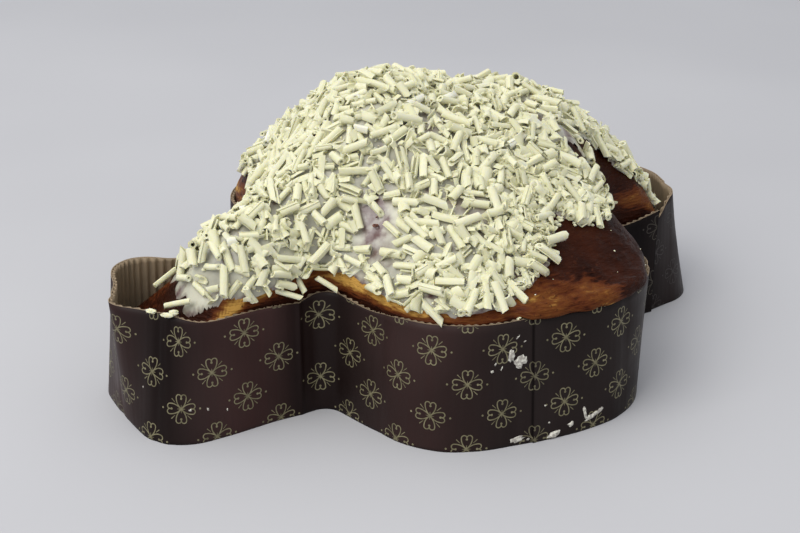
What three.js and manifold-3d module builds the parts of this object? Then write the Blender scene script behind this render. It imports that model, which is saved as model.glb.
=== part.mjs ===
// A colomba: a dove-shaped Easter bread baked in its paper mould, iced and strewn with rolls of
// white chocolate. Millimetres, +Z up, the mould standing on z = 0. The tail points to -X, the
// head to +X, and the wings to -Y (front) and +Y (back).

import * as THREE from "three";
import { ConvexHull } from "three/addons/math/ConvexHull.js";
import { mergeVertices } from "three/addons/utils/BufferGeometryUtils.js";
import Module from "manifold-3d";

const wasm = await Module();
wasm.setup();

const LENGTH = 300; // of the mould, tail to head
const WING_REACH = 112; // of each wing, from the middle

// Paper mould
const WALL_HEIGHT = 56;
const PAPER = 1; // the fluted paper, ribs left out
const FLOOR = 1.2;
const RIB_DEPTH = 0.7;
const RIB_PITCH = 3.4;
const OPEN_FROM = 114; // the ends beyond this, along X, show the ribs inside
const SEAM_STEP = 0.6; // where one end of the band laps over the other, in front
const SEAMS = {
  wing: { from: -11, to: -2, beyond: 90 }, // X from and to, and how far from the middle
  head: { from: 102, to: 111, beyond: 0 },
};
const WALL_STEP = 7; // between the corners of the wall's faces
const GAP = 0.3; // between neighbouring pieces

// Corners of half the mould's foot, from the tail's end to the head's end, each with the radius
// of its fillet. The other half is the same in y < 0.
const CORNERS = [
  { x: -150, y: 0, r: 200 },
  { x: -145, y: 39.5, r: 22 },
  { x: -69.5, y: 37.5, r: 9 },
  { x: -57, y: 102, r: 48 },
  { x: 49, y: 118, r: 52 },
  { x: 79.5, y: 38, r: 19 },
  { x: 142.5, y: 31.5, r: 22 },
  { x: 150.7, y: 0, r: 200 },
];

// The paper's rim leans in all round, and more or less near some places of the foot. Near others
// it stands lower.
const LEAN = 2.5;
const LEANS = {
  "tail end": { x: -150, y: -4, by: -5, reach: 9 },
  "tail, back corner": { x: -147, y: 24, by: 3, reach: 13 },
  "tail, front corner": { x: -141, y: -30, by: 4.5, reach: 13 },
  "tail, back side": { x: -102, y: 38.5, by: 7, reach: 14 },
  "tail, front side": { x: -90, y: -38, by: -3.5, reach: 13 },
  "front wing, head side": { x: 52, y: -98, by: -3.5, reach: 14 },
  "front wing, head end": { x: 66, y: -80, by: -4, reach: 10 },
  "head, front side": { x: 108, y: -35, by: -2.5, reach: 12 },
  "head, front corner": { x: 143, y: -19, by: 9.5, reach: 14 },
  "head end": { x: 148, y: 14, by: 5.5, reach: 13 },
};
const DIPS = {
  "head, front side": { x: 90, y: -36, by: 6.5, reach: 15 },
  "tail, front corner": { x: -124, y: -35, by: 2.6, reach: 9 },
  "tail, front side": { x: -100, y: -38, by: 2.2, reach: 16 },
  "tail, back side": { x: -108, y: 31, by: 4, reach: 7 },
  "front wing, tail side": { x: -63, y: -60, by: 2.8, reach: 11 },
};

// Dough: its edge lies against the paper just under the rim, and sinks at the tail and the head,
// which it doesn't fill. The dome rises from the edge as a quarter round, BULGE wide, to a top
// made of a few soft mounds.
const EDGE_HEIGHT = 54.5;
const TAIL_SINK = { depth: 26, x: -118, soft: 5 };
const HEAD_SINK = { depth: 25, x: 117, soft: 5 };
const TAIL_BACK_SINK = { depth: 11, from: -116, to: -84, y: 6, soft: 5.5 };
const BULGE = 46;
const BULGE_POWER = 2.2;
const DOME_BASE = 9;
const MOUNDS = {
  crown: { x: -22, y: -3, h: 51.5, sx: 38, sy: 37 },
  shoulder: { x: 65, y: 12, h: 40.5, sx: 31, sy: 45 },
  "back wing": { x: -8, y: 60, h: 28, sx: 39, sy: 40 },
  saddle: { x: 22, y: 16, h: 4, sx: 15, sy: 28 },
  "front wing": { x: -6, y: -68, h: 11, sx: 39, sy: 17 },
  tail: { x: -104, y: -22, h: 22, sx: 32, sy: 16 },
  flank: { x: 47, y: -37, h: 20, sx: 34, sy: 16 },
  "front wing, head end": { x: 60, y: -78, h: 6, sx: 15, sy: 20 },
};

// Folds in the dough, each a groove along a line in plan
const FOLDS = {
  neck: { x1: 84, y1: -40, x2: 44, y2: -20, depth: 5, width: 4.5 },
  crown: { x1: 52, y1: 40, x2: 0, y2: -6, depth: 3, width: 6 },
  "wing lip": { x1: 2, y1: -103, x2: 22, y2: -99, depth: 2.5, width: 2.5 },
};
const WRINKLE = 0.5;
const SIDE_STEP = 11; // between the corners of the dough's side faces
const BULGE_INSETS = [1, 3, 6.5, 11, 16]; // from the edge in, where the surface is sampled
const MIDDLE_STEP = 12; // between the samples inside those

// Icing: a skin over the dome. Its edge keeps off the paper by EDGE_OFF, waving, and by more
// near some places of the rim, where the crust is bare.
const ICING = 1.8;
const EDGE_STEP = 7;
const EDGE_OFF = 2.1;
const EDGE_WAVE = 0.4;
const BARE = {
  "front wing, head side": { x: 38, y: -106, by: 38, reach: 27 },
  "tail end": { x: -150, y: 3, by: 27, reach: 20 },
  "tail, front corner": { x: -134, y: -36, by: 8, reach: 11 },
  "head end": { x: 148, y: 0, by: 24, reach: 22 },
  "head, front side": { x: 102, y: -36, by: 5, reach: 14 },
  "back wing, tail side": { x: -62, y: 76, by: 5, reach: 14 },
  "back wing, head side": { x: 58, y: 92, by: 6, reach: 16 },
};

// White chocolate rolls, strewn over the icing and stuck to it
const ROLL_LENGTH = 10;
const ROLL_RADIUS = 1.8;
const ROLL_SIDES = 5;
const ROLL_SPACING = 13.6;
const ROLL_SHIFT = 4;
const ROLL_SINK = 0.35; // into the icing
const ROLL_EDGE_OFF = 2.5; // between the rolls and the icing's edge
const SEED = 41;

const TURN = 2 * Math.PI;
const CORNER_SHARE = 0.49; // of a side, at most taken up by the fillet at each end
const SHORTEST_RUN = 2; // between two fillets, to get faces of its own

// ---------------------------------------------------------------- outline of the mould

// The foot's closed outline as pieces, counter-clockwise from the head: an arc at each corner
// and the straight run to the next one. Each piece gives its length and the point and outward
// direction at a fraction of it.
function outlinePieces() {
  const back = CORNERS.slice().reverse();
  const front = CORNERS.filter((c) => c.y > 0).map((c) => ({ ...c, y: -c.y }));
  const ring = [...back, ...front];
  const arcs = ring.map((corner, i) => {
    const before = ring[(i + ring.length - 1) % ring.length];
    const after = ring[(i + 1) % ring.length];
    return fillet(corner, before, after);
  });
  return arcs.flatMap((arc, i) => [arc, straight(arc.at(1), arcs[(i + 1) % arcs.length].at(0))]);
}

function fillet(corner, before, after) {
  const tip = new THREE.Vector2(corner.x, corner.y);
  const back = new THREE.Vector2(before.x, before.y).sub(tip);
  const ahead = new THREE.Vector2(after.x, after.y).sub(tip);
  const room = CORNER_SHARE * Math.min(back.length(), ahead.length());
  back.normalize();
  ahead.normalize();
  const half = Math.acos(back.dot(ahead)) / 2;
  const tangent = Math.min(corner.r / Math.tan(half), room);
  const radius = tangent * Math.tan(half);
  const inward = back.clone().add(ahead).normalize();
  const centre = tip.clone().addScaledVector(inward, radius / Math.sin(half));
  const first = tip.clone().addScaledVector(back, tangent).sub(centre).angle();
  const last = tip.clone().addScaledVector(ahead, tangent).sub(centre).angle();
  const sweep = THREE.MathUtils.euclideanModulo(last - first + Math.PI, TURN) - Math.PI;
  const at = (f) => {
    const angle = first + sweep * f;
    return new THREE.Vector2(Math.cos(angle), Math.sin(angle)).multiplyScalar(radius).add(centre);
  };
  const outward = (f) => at(f).sub(centre).normalize().multiplyScalar(Math.sign(sweep));
  return { length: radius * Math.abs(sweep), at, outward };
}

function straight(from, to) {
  const outward = () => new THREE.Vector2(to.y - from.y, from.x - to.x).normalize();
  return { length: from.distanceTo(to), at: (f) => from.clone().lerp(to, f), outward };
}

const pieces = outlinePieces();

// What the places near a plan point add up to there
function nearby(places, x, y) {
  const share = (place) => Math.exp(-0.5 * (((x - place.x) ** 2 + (y - place.y) ** 2) / place.reach ** 2));
  return Object.values(places).reduce((sum, place) => sum + place.by * share(place), 0);
}

// Point of the paper's outer face at a station and a height, moved in by an inset
function outlineAt({ piece, f }, z, inset = 0) {
  const foot = pieces[piece].at(f);
  const lean = ((LEAN + nearby(LEANS, foot.x, foot.y)) * z) / WALL_HEIGHT;
  return foot.addScaledVector(pieces[piece].outward(f), -lean - inset);
}

// Stations all round, at most stepFor(x) apart, none on the shortest runs between two arcs
function stationsAlong(stepFor) {
  return pieces.flatMap((p, piece) => {
    if (p.length < SHORTEST_RUN) return [];
    const steps = Math.ceil(p.length / stepFor(p.at(0.5).x));
    return Array.from({ length: steps }, (_, i) => ({ piece, f: i / steps }));
  });
}

function wallTop(x, y) {
  return WALL_HEIGHT - nearby(DIPS, x, y);
}

// ---------------------------------------------------------------- dough surface

function rise(t) {
  return 1 / (1 + Math.exp(-t));
}

const doughRing = stationsAlong(() => WALL_STEP).map((s) => outlineAt(s, WALL_HEIGHT, PAPER + GAP));

// Distance in plan from a point to a line from a to b
function distanceToLine(x, y, a, b) {
  const dx = b.x - a.x;
  const dy = b.y - a.y;
  const along = ((x - a.x) * dx + (y - a.y) * dy) / (dx * dx + dy * dy);
  const f = THREE.MathUtils.clamp(along, 0, 1);
  return Math.hypot(x - a.x - f * dx, y - a.y - f * dy);
}

// How far a point inside a ring is from it, and how far inside the mould from the paper
function insideOf(ring, x, y) {
  return ring.reduce((least, a, i) => {
    const b = ring[(i + 1) % ring.length];
    return Math.min(least, distanceToLine(x, y, a, b));
  }, Infinity);
}

function insideBy(x, y) {
  return insideOf(doughRing, x, y);
}

function edgeHeight(x, y) {
  const tail = TAIL_SINK.depth * rise((TAIL_SINK.x - x) / TAIL_SINK.soft);
  const head = HEAD_SINK.depth * rise((x - HEAD_SINK.x) / HEAD_SINK.soft);
  const { depth, from, to, y: side, soft } = TAIL_BACK_SINK;
  const back = depth * rise((y - side) / soft) * rise((to - x) / soft) * rise((x - from) / soft);
  return EDGE_HEIGHT - tail - head - back;
}

function domeHeight(x, y) {
  return Object.values(MOUNDS).reduce(
    (sum, m) => sum + m.h * Math.exp(-0.5 * (((x - m.x) / m.sx) ** 2 + ((y - m.y) / m.sy) ** 2)),
    DOME_BASE,
  );
}

function foldDepth(x, y) {
  return Object.values(FOLDS).reduce((sum, fold) => {
    const off = distanceToLine(x, y, { x: fold.x1, y: fold.y1 }, { x: fold.x2, y: fold.y2 });
    return sum + fold.depth * Math.exp(-0.5 * (off / fold.width) ** 2);
  }, 0);
}

function crustHeight(x, y) {
  const inside = insideBy(x, y);
  const short = 1 - Math.min(inside / BULGE, 1);
  const round = Math.sqrt(1 - short ** BULGE_POWER);
  const wrinkle = WRINKLE * Math.sin(x * 0.31 + 1.3 * Math.sin(y * 0.13)) * Math.sin(y * 0.27 + x * 0.07);
  return edgeHeight(x, y) + round * (domeHeight(x, y) - foldDepth(x, y) + wrinkle);
}

// Point on the crust lifted off along its normal
function crustPoint(x, y, lift) {
  const step = 0.5;
  const z = crustHeight(x, y);
  const slopeX = (crustHeight(x + step, y) - crustHeight(x - step, y)) / (2 * step);
  const slopeY = (crustHeight(x, y + step) - crustHeight(x, y - step)) / (2 * step);
  const normal = new THREE.Vector3(-slopeX, -slopeY, 1).normalize();
  return { point: new THREE.Vector3(x, y, z).addScaledVector(normal, lift), normal };
}

// ---------------------------------------------------------------- closed solids from rings

// A solid from a stack of rings of points, all with the same count and running counter-clockwise
// seen from above. A fan closes it below, and above either a fan or the faces given for the
// points inside the last ring.
function solidFromRings(lowCentre, rings, inner, innerFaces) {
  const count = rings[0].length;
  const vertices = [lowCentre, ...rings.flat(), ...inner];
  const last = 1 + (rings.length - 1) * count;
  const faces = innerFaces.flat().map((index) => last + index);
  for (let i = 0; i < count; i++) {
    const next = (i + 1) % count;
    faces.push(0, 1 + next, 1 + i);
    for (let a = 1; a < last; a += count) {
      const b = a + count;
      faces.push(a + i, a + next, b + next, a + i, b + next, b + i);
    }
  }
  const geometry = new THREE.BufferGeometry().setFromPoints(vertices);
  geometry.setIndex(faces);
  return geometry;
}

// Faces from a ring of points to one point that follows it
function fanFaces(count) {
  return Array.from({ length: count }, (_, i) => [i, (i + 1) % count, count]);
}

// Faces between the points in plan, first the ring round them and then those inside it: the
// lower side of the hull of the points raised onto a paraboloid, as far as it lies in the ring
function meshInside(ring, inner) {
  const points = [...ring, ...inner];
  const raised = points.map((p) => new THREE.Vector3(p.x, p.y, (p.x * p.x + p.y * p.y) / LENGTH));
  const hull = new ConvexHull().setFromPoints(raised);
  return hull.faces
    .filter((face) => face.normal.z < 0)
    .map(({ edge }) => [edge.head(), edge.tail(), edge.prev.tail()].map((end) => raised.indexOf(end.point)))
    .filter((face) => {
      const [a, b, c] = face.map((index) => points[index]);
      return isInside((a.x + b.x + c.x) / 3, (a.y + b.y + c.y) / 3, ring);
    });
}

function isInside(x, y, ring) {
  return ring.reduce((inside, a, i) => {
    const b = ring[(i + 1) % ring.length];
    const crosses = a.y > y !== b.y > y && x < a.x + ((b.x - a.x) * (y - a.y)) / (b.y - a.y);
    return crosses ? !inside : inside;
  }, false);
}

function toSolid(geometry) {
  const bare = geometry.index ? geometry.toNonIndexed() : geometry.clone();
  bare.deleteAttribute("normal");
  bare.deleteAttribute("uv");
  const merged = mergeVertices(bare, 1e-4);
  return new wasm.Manifold(
    new wasm.Mesh({
      numProp: 3,
      vertProperties: new Float32Array(merged.attributes.position.array),
      triVerts: new Uint32Array(merged.index.array),
    }),
  );
}

function toGeometry(solid) {
  const mesh = solid.getMesh();
  const geometry = new THREE.BufferGeometry();
  geometry.setAttribute("position", new THREE.BufferAttribute(new Float32Array(mesh.vertProperties), 3));
  geometry.setIndex(new THREE.BufferAttribute(new Uint32Array(mesh.triVerts), 1));
  return geometry;
}

// ---------------------------------------------------------------- paper mould

// The tray: outer face, rim and inner face, whose ribs show where the dough sinks. Two seams
// step out of the outer face, where the band's end laps over its start.
function mouldGeometry() {
  const openEnd = (x) => Math.abs(x) > OPEN_FROM;
  const stations = stationsAlong((x) => (openEnd(x) ? RIB_PITCH / 2 : WALL_STEP));
  const onSeam = ({ x, y }) => Object.values(SEAMS).some((s) => x > s.from && x < s.to && -y > s.beyond);
  const seam = (foot) => (onSeam(foot) ? -SEAM_STEP : 0);
  const rib = ({ x }, i) => PAPER + (openEnd(x) && i % 2 ? RIB_DEPTH : 0);
  const ringAt = (z, insetOver) =>
    stations.map((s, i) => {
      const foot = outlineAt(s, 0);
      const height = Math.min(z, wallTop(foot.x, foot.y));
      const p = outlineAt(s, height, insetOver(foot, i));
      return new THREE.Vector3(p.x, p.y, height);
    });
  const rings = [
    ringAt(0, seam),
    ringAt(WALL_HEIGHT, seam),
    ringAt(WALL_HEIGHT, rib),
    ringAt(FLOOR, rib),
  ];
  const floor = [new THREE.Vector3(0, 0, FLOOR)];
  return solidFromRings(new THREE.Vector3(0, 0, 0), rings, floor, fanFaces(stations.length));
}

// ---------------------------------------------------------------- dough

const edgeStations = stationsAlong(() => SIDE_STEP);

// The dough's side follows the paper's inner face. Its top is sampled on rings inside each other
// where it curves down to the edge, and on a staggered grid inside those. Grown, it is larger
// all round.
function cakeGeometry(grown = 0) {
  const clear = PAPER + RIB_DEPTH + GAP;
  const heights = edgeStations.map((s) => {
    const p = outlineAt(s, EDGE_HEIGHT);
    return edgeHeight(p.x, p.y);
  });
  const bottom = FLOOR + GAP - grown;
  const sideAt = (heightAt) =>
    edgeStations.map((s, i) => {
      const p = outlineAt(s, heightAt(i), clear - grown);
      return new THREE.Vector3(p.x, p.y, heightAt(i));
    });
  const onCrust = (p) => crustPoint(p.x, p.y, grown).point;
  const ringIn = (inset) => edgeStations.map((s, i) => outlineAt(s, heights[i], clear + inset));
  const bulge = BULGE_INSETS.map(ringIn);
  const margin = BULGE_INSETS.at(-1) + MIDDLE_STEP / 2;
  const inner = staggered(MIDDLE_STEP, 0).filter((p) => insideBy(p.x, p.y) > margin);
  const rings = [sideAt(() => bottom), sideAt((i) => heights[i]), ...bulge.map((ring) => ring.map(onCrust))];
  const faces = meshInside(bulge.at(-1), inner);
  return solidFromRings(new THREE.Vector3(0, 0, bottom), rings, inner.map(onCrust), faces);
}

// Points of a staggered grid over the mould's plan, each shifted a little
function staggered(step, shift, random = () => 0.5) {
  const points = [];
  const rowStep = step * Math.sqrt(0.75);
  const rows = Math.floor(WING_REACH / rowStep);
  for (let row = -rows; row <= rows; row++) {
    const start = -LENGTH / 2 + (row % 2 ? step / 2 : 0);
    for (let x = start; x < LENGTH / 2; x += step) {
      const point = { x: x + shift * (random() - 0.5), y: row * rowStep + shift * (random() - 0.5) };
      if (isInside(point.x, point.y, doughRing)) points.push(point);
    }
  }
  return points;
}

// ---------------------------------------------------------------- icing with its rolls

// The icing's edge in plan
function icingEdge() {
  return stationsAlong(() => EDGE_STEP).map((s, i) => {
    const rim = outlineAt(s, WALL_HEIGHT);
    const wave = EDGE_WAVE * (Math.sin(i * 1.1) + Math.sin(i * 2.3 + 1));
    return outlineAt(s, WALL_HEIGHT, PAPER + EDGE_OFF + wave + nearby(BARE, rim.x, rim.y));
  });
}

const edgeOfIcing = icingEdge();

// The layer over the dough, cut off all round along the icing's edge
function icingSkin() {
  const shape = new THREE.Shape(edgeOfIcing);
  const cutter = new THREE.ExtrudeGeometry(shape, { depth: LENGTH, bevelEnabled: false });
  cutter.translate(0, 0, EDGE_HEIGHT / 4);
  const layer = toSolid(cakeGeometry(GAP + ICING)).intersect(toSolid(cutter));
  return layer.subtract(toSolid(cakeGeometry(1.5 * GAP)));
}

// Even numbers from 0 to 1 from a seed
function randomFrom(seed) {
  let state = seed;
  return () => {
    state = (state * 1664525 + 1013904223) % 4294967296;
    return state / 4294967296;
  };
}

function onIcing({ x, y }) {
  return isInside(x, y, edgeOfIcing) && insideOf(edgeOfIcing, x, y) > ROLL_EDGE_OFF;
}

// A roll lying with a flat side down on the face of the icing under its place
function rollSolid({ x, y }, skin, random) {
  const turn = TURN * random();
  const length = ROLL_LENGTH * (0.8 + 0.4 * random());
  const ray = new THREE.Raycaster(new THREE.Vector3(x, y, LENGTH), new THREE.Vector3(0, 0, -1));
  const { point, face } = ray.intersectObject(skin)[0];
  const roll = new THREE.CylinderGeometry(ROLL_RADIUS, ROLL_RADIUS, length, ROLL_SIDES);
  roll.translate(0, 0, ROLL_RADIUS * (Math.cos(Math.PI / ROLL_SIDES) - ROLL_SINK));
  roll.rotateZ(turn);
  roll.applyQuaternion(new THREE.Quaternion().setFromUnitVectors(new THREE.Vector3(0, 0, 1), face.normal));
  roll.translate(point.x, point.y, point.z);
  return toSolid(roll);
}

// The skin and the rolls as one solid. A roll that would reach the dough is left out.
function icingGeometry(cake) {
  const skin = icingSkin();
  const skinMesh = new THREE.Mesh(toGeometry(skin), new THREE.MeshBasicMaterial());
  const dough = toSolid(cake);
  const random = randomFrom(SEED);
  const places = staggered(ROLL_SPACING, ROLL_SHIFT, random).filter(onIcing);
  const rolls = places.map((place) => rollSolid(place, skinMesh, random));
  const clear = rolls.filter((roll) => roll.minGap(dough, 2 * GAP) > GAP);
  return toGeometry(wasm.Manifold.union([skin, ...clear]));
}

// ---------------------------------------------------------------- the model

function part(name, geometry, color, roughness) {
  const mesh = new THREE.Mesh(geometry, new THREE.MeshStandardMaterial({ color, roughness, metalness: 0 }));
  mesh.name = name;
  return mesh;
}

const cake = cakeGeometry();
const colomba = new THREE.Group();
colomba.add(part("paper_mould", mouldGeometry(), 0x3a2a2b, 0.5));
colomba.add(part("cake", cake, 0x7a3312, 0.45));
colomba.add(part("icing", icingGeometry(cake), 0xe6e6cc, 0.5));

export default colomba;
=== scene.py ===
import math

import bpy
import numpy as np
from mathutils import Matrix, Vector, noise
from mathutils.geometry import delaunay_2d_cdt


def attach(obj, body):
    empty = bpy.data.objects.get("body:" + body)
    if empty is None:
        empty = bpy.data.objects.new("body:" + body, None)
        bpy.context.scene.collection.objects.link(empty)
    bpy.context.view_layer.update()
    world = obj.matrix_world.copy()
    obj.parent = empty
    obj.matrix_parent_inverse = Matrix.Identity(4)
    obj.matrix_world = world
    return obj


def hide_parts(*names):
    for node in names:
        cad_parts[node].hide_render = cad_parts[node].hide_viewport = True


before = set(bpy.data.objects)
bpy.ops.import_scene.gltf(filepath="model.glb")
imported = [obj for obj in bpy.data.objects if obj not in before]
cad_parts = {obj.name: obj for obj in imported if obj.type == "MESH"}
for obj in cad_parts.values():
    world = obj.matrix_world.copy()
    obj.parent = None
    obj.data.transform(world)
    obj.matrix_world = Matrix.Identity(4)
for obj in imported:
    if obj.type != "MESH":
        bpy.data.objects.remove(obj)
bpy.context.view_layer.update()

# ---------------------------------------------------------------- printed band of the mould
# The mould's wall is a strip of corrugated board, bent round the outline of a dove and lapped and
# glued at two places in front. Its outer face is a coated, dark chocolate brown paper, creased and
# dented here and there, which shows the flutes behind it as faint upright lines.

MM = 0.001  # lengths are in millimetres until a mesh is made
WALL_HEIGHT = 56
FLUTE = 3.4  # from one flute to the next, along the wall
FLUTE_SHOW = 0.012  # how far the flutes press through the printed paper
DENTS = 0.55  # how deep the soft dents are
DENT_STEP = 2.0  # along the wall, between the dents' samples
DENT_ROWS = 7  # of samples, up the wall

# Corners of half the foot, from the tail's end to the head's end, each with its fillet's radius.
# The other half is the same in y < 0.
CORNERS = [
    (-150, 0, 200),
    (-145, 39.5, 22),
    (-69.5, 37.5, 9),
    (-57, 102, 48),
    (49, 118, 52),
    (79.5, 38, 19),
    (142.5, 31.5, 22),
    (150.7, 0, 200),
]
CORNER_SHARE = 0.49  # of a side, at most taken up by the fillet at each end

# How far the rim leans in, and the places where it leans more or less: x, y, by how much, reach
LEAN = 2.5
LEANS = [
    (-150, -4, -7, 8),
    (-147, 24, 3, 13),
    (-141, -30, 4.5, 13),
    (-102, 38.5, 7, 14),
    (-90, -38, -3.5, 13),
    (52, -98, -3.5, 14),
    (66, -80, -4, 10),
    (108, -35, -2.5, 12),
    (143, -19, 9.5, 14),
    (148, 14, 5.5, 13),
]
# Where the rim stands lower: x, y, by how much, reach
DIPS = [
    (90, -36, 6.5, 15),
    (-124, -35, 2.6, 9),
    (-100, -38, 2.2, 16),
    (-83, -38, 1.8, 5),
    (-63, -60, 2.8, 11),
    (-108, 31, 4, 7),
]


def fillet(before, corner, after, step=0.4):
    """Points of the arc at a corner, and the direction outward at each."""
    tip = np.array(corner[:2], float)
    ways = [np.array(other[:2], float) - tip for other in (before, after)]
    lengths = [np.hypot(*way) for way in ways]
    ways = [way / length for way, length in zip(ways, lengths)]
    half = math.acos(ways[0] @ ways[1]) / 2
    tangent = min(corner[2] / math.tan(half), CORNER_SHARE * min(lengths))
    radius = tangent * math.tan(half)
    inward = ways[0] + ways[1]
    centre = tip + inward / np.hypot(*inward) * radius / math.sin(half)
    first, last = (tip + way * tangent - centre for way in ways)
    start = math.atan2(first[1], first[0])
    sweep = (math.atan2(last[1], last[0]) - start + math.pi) % math.tau - math.pi
    angles = start + sweep * np.linspace(0, 1, max(3, int(abs(sweep) * radius / step)))
    rays = np.stack((np.cos(angles), np.sin(angles)), 1)
    return centre + radius * rays, rays * np.sign(sweep)


ring = CORNERS[::-1] + [(x, -y, r) for x, y, r in CORNERS if y > 0]
arcs = [fillet(ring[i - 1], ring[i], ring[(i + 1) % len(ring)]) for i in range(len(ring))]
foot_points = np.concatenate([points for points, _ in arcs] + [arcs[0][0][:1]])
foot_outward = np.concatenate([outward for _, outward in arcs] + [arcs[0][1][:1]])
foot_along = np.concatenate(([0], np.cumsum(np.hypot(*np.diff(foot_points, axis=0).T))))
GIRTH = foot_along[-1]


def nearby(places, x, y):
    """What the places near each plan point add up to there."""
    return sum(
        by * np.exp(-0.5 * ((x - px) ** 2 + (y - py) ** 2) / reach**2) for px, py, by, reach in places
    )


def between(table, along):
    """The foot's table of pairs, read at distances along it."""
    return np.stack([np.interp(np.mod(along, GIRTH), foot_along, column) for column in table.T], -1)


def on_wall(along, z, inset=0.0):
    """Points on the band's outer face, a distance along the foot and a height, moved in by inset."""
    along, z, inset = np.broadcast_arrays(along, np.asarray(z, float), inset)
    foot = between(foot_points, along)
    outward = between(foot_outward, along)
    outward = outward / np.hypot(outward[..., 0], outward[..., 1])[..., None]
    lean = (LEAN + nearby(LEANS, foot[..., 0], foot[..., 1])) * z / WALL_HEIGHT
    plan = foot - outward * (lean + inset)[..., None]
    return np.concatenate((plan, z[..., None]), -1)


# The lapped seams, as places along the wall
WING_SEAM = 654.4
HEAD_SEAM = 819

# Beyond the head's seam the strip is cut lower: by how much, and over what length
SEAM_DROP = 7
DROP_LENGTH = 9


def rim_height(along):
    """Height of the rim, at distances along the foot."""
    foot = between(foot_points, along)
    beyond = np.mod(np.asarray(along) - HEAD_SEAM, GIRTH)
    cut_lower = SEAM_DROP * np.exp(-((beyond / DROP_LENGTH) ** 2))
    return WALL_HEIGHT - nearby(DIPS, foot[..., 0], foot[..., 1]) - cut_lower


# Creases: where along the foot, how deep in, how wide
CREASES = [
    (445, 0.9, 2.2),
    (474.5, 0.7, 1.6),
    (480, -0.5, 1.5),
    (541.3, -0.8, 1.2),
    (585, 0.3, 2.5),
    (702, 0.35, 3.0),
    (736, 0.5, 2.0),
    (215, 0.5, 2.2),
    (95, 0.4, 2.5),
]
# At each seam: where the upper end stops, how far it stands off there, and over what length
SEAMS = [
    (WING_SEAM, 0.7, 12),
    (HEAD_SEAM, 1.5, -16),
]
LOOSE_TOP = 0.9  # how much further the head's lap stands off at the rim


def seam_lift(along, z):
    """How far the laps stand off the wall. A lap with a negative length runs back from its end."""
    lift = 0.0
    for end, height, length in SEAMS:
        run = (along - end) / length
        free = 1 + LOOSE_TOP * (z / WALL_HEIGHT) ** 3 * (length < 0)
        lift = lift + np.where((run >= 0) & (run < 1), height * free * (1 - np.clip(run, 0, 1)) ** 1.5, 0)
    return lift


def smooth_noise(x, y, seed):
    """A soft, seeded unevenness of about -1 to 1, with a grain of about one unit."""
    xs, ys = np.broadcast_arrays(x, y)
    flat = [noise.noise((float(a), float(b), seed)) for a, b in zip(xs.ravel(), ys.ravel())]
    return np.array(flat).reshape(xs.shape) * 1.6


dents_along = np.arange(0, GIRTH, DENT_STEP)
dents_up = np.linspace(0, WALL_HEIGHT, DENT_ROWS + 1)
dent_table = smooth_noise(dents_along[:, None] / 17, dents_up[None] / 60, 3.5)


def band_relief(along, z):
    """How far in the printed face lies: flutes, creases, soft dents, and the seams' laps."""
    along, z = np.broadcast_arrays(np.mod(along, GIRTH), np.asarray(z, float))
    flutes = FLUTE_SHOW * np.cos(math.tau * along / FLUTE)
    creases = sum(
        depth * np.exp(-(((along - place) / width) ** 2)) * (0.4 + 0.6 * z / WALL_HEIGHT)
        for place, depth, width in CREASES
    )
    column = np.clip(along / DENT_STEP, 0, len(dents_along) - 1.001)
    row = np.clip(z / WALL_HEIGHT * DENT_ROWS, 0, DENT_ROWS - 0.001)
    i, j = column.astype(int), row.astype(int)
    following = np.minimum(i + 1, len(dent_table) - 1)
    past_i, past_j = column - i, row - j
    low = dent_table[i, j] * (1 - past_i) + dent_table[following, j] * past_i
    high = dent_table[i, j + 1] * (1 - past_i) + dent_table[following, j + 1] * past_i
    dents = DENTS * (low * (1 - past_j) + high * past_j)
    return flutes + creases + dents - seam_lift(along, z)


def make_mesh(name, vertices, faces):
    """An object in metres from vertices in millimetres, smooth shaded."""
    mesh = bpy.data.meshes.new(name)
    mesh.from_pydata((np.asarray(vertices) * MM).tolist(), [], faces)
    mesh.shade_smooth()
    piece = bpy.data.objects.new(name, mesh)
    bpy.context.scene.collection.objects.link(piece)
    return piece


def ring_faces(rings, count, closed=False):
    """Quads between stacked rings of points, each ring running counter-clockwise and closed."""
    faces = []
    for a in range(rings if closed else rings - 1):
        b = (a + 1) % rings
        for i in range(count):
            j = (i + 1) % count
            faces.append((a * count + i, a * count + j, b * count + j, b * count + i))
    return faces


def mark(piece, name, values):
    """Keeps a value at each point of a piece, for its material to read."""
    layer = piece.data.attributes.new(name, "FLOAT", "POINT")
    layer.data.foreach_set("value", np.asarray(values, np.float32))


def new_material(name, base_color, roughness):
    """A material with its shader's plain values set. Returns it with its node tree and shader."""
    material = bpy.data.materials.new(name)
    material.use_nodes = True
    shader = material.node_tree.nodes["Principled BSDF"]
    shader.inputs["Base Color"].default_value = (*base_color, 1)
    shader.inputs["Roughness"].default_value = roughness
    return material, material.node_tree, shader


def add_node(tree, kind, **values):
    """A node of a kind in a tree. Values that are sockets of other nodes are linked in."""
    node = tree.nodes.new(kind)
    for key, value in values.items():
        if key.startswith("set_"):
            setattr(node, key[4:], value)
        else:
            named = key.replace("_", " ")
            socket = node.inputs[int(key[3:])] if key.startswith("in_") else node.inputs[named]
            if isinstance(value, bpy.types.NodeSocket):
                tree.links.new(value, socket)
            else:
                socket.default_value = value
    return node


def marked(tree, name):
    """The value that a piece's points were marked with."""
    return add_node(tree, "ShaderNodeAttribute", set_attribute_name=name).outputs["Fac"]


def ramp(tree, source, stops):
    """A colour ramp from a value, with stops of (place, colour)."""
    node = add_node(tree, "ShaderNodeValToRGB", Fac=source)
    elements = node.color_ramp.elements
    while len(elements) < len(stops):
        elements.new(0.5)
    for element, (place, color) in zip(elements, stops):
        element.position = place
        element.color = (*color, 1)
    return node.outputs["Color"]


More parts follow.
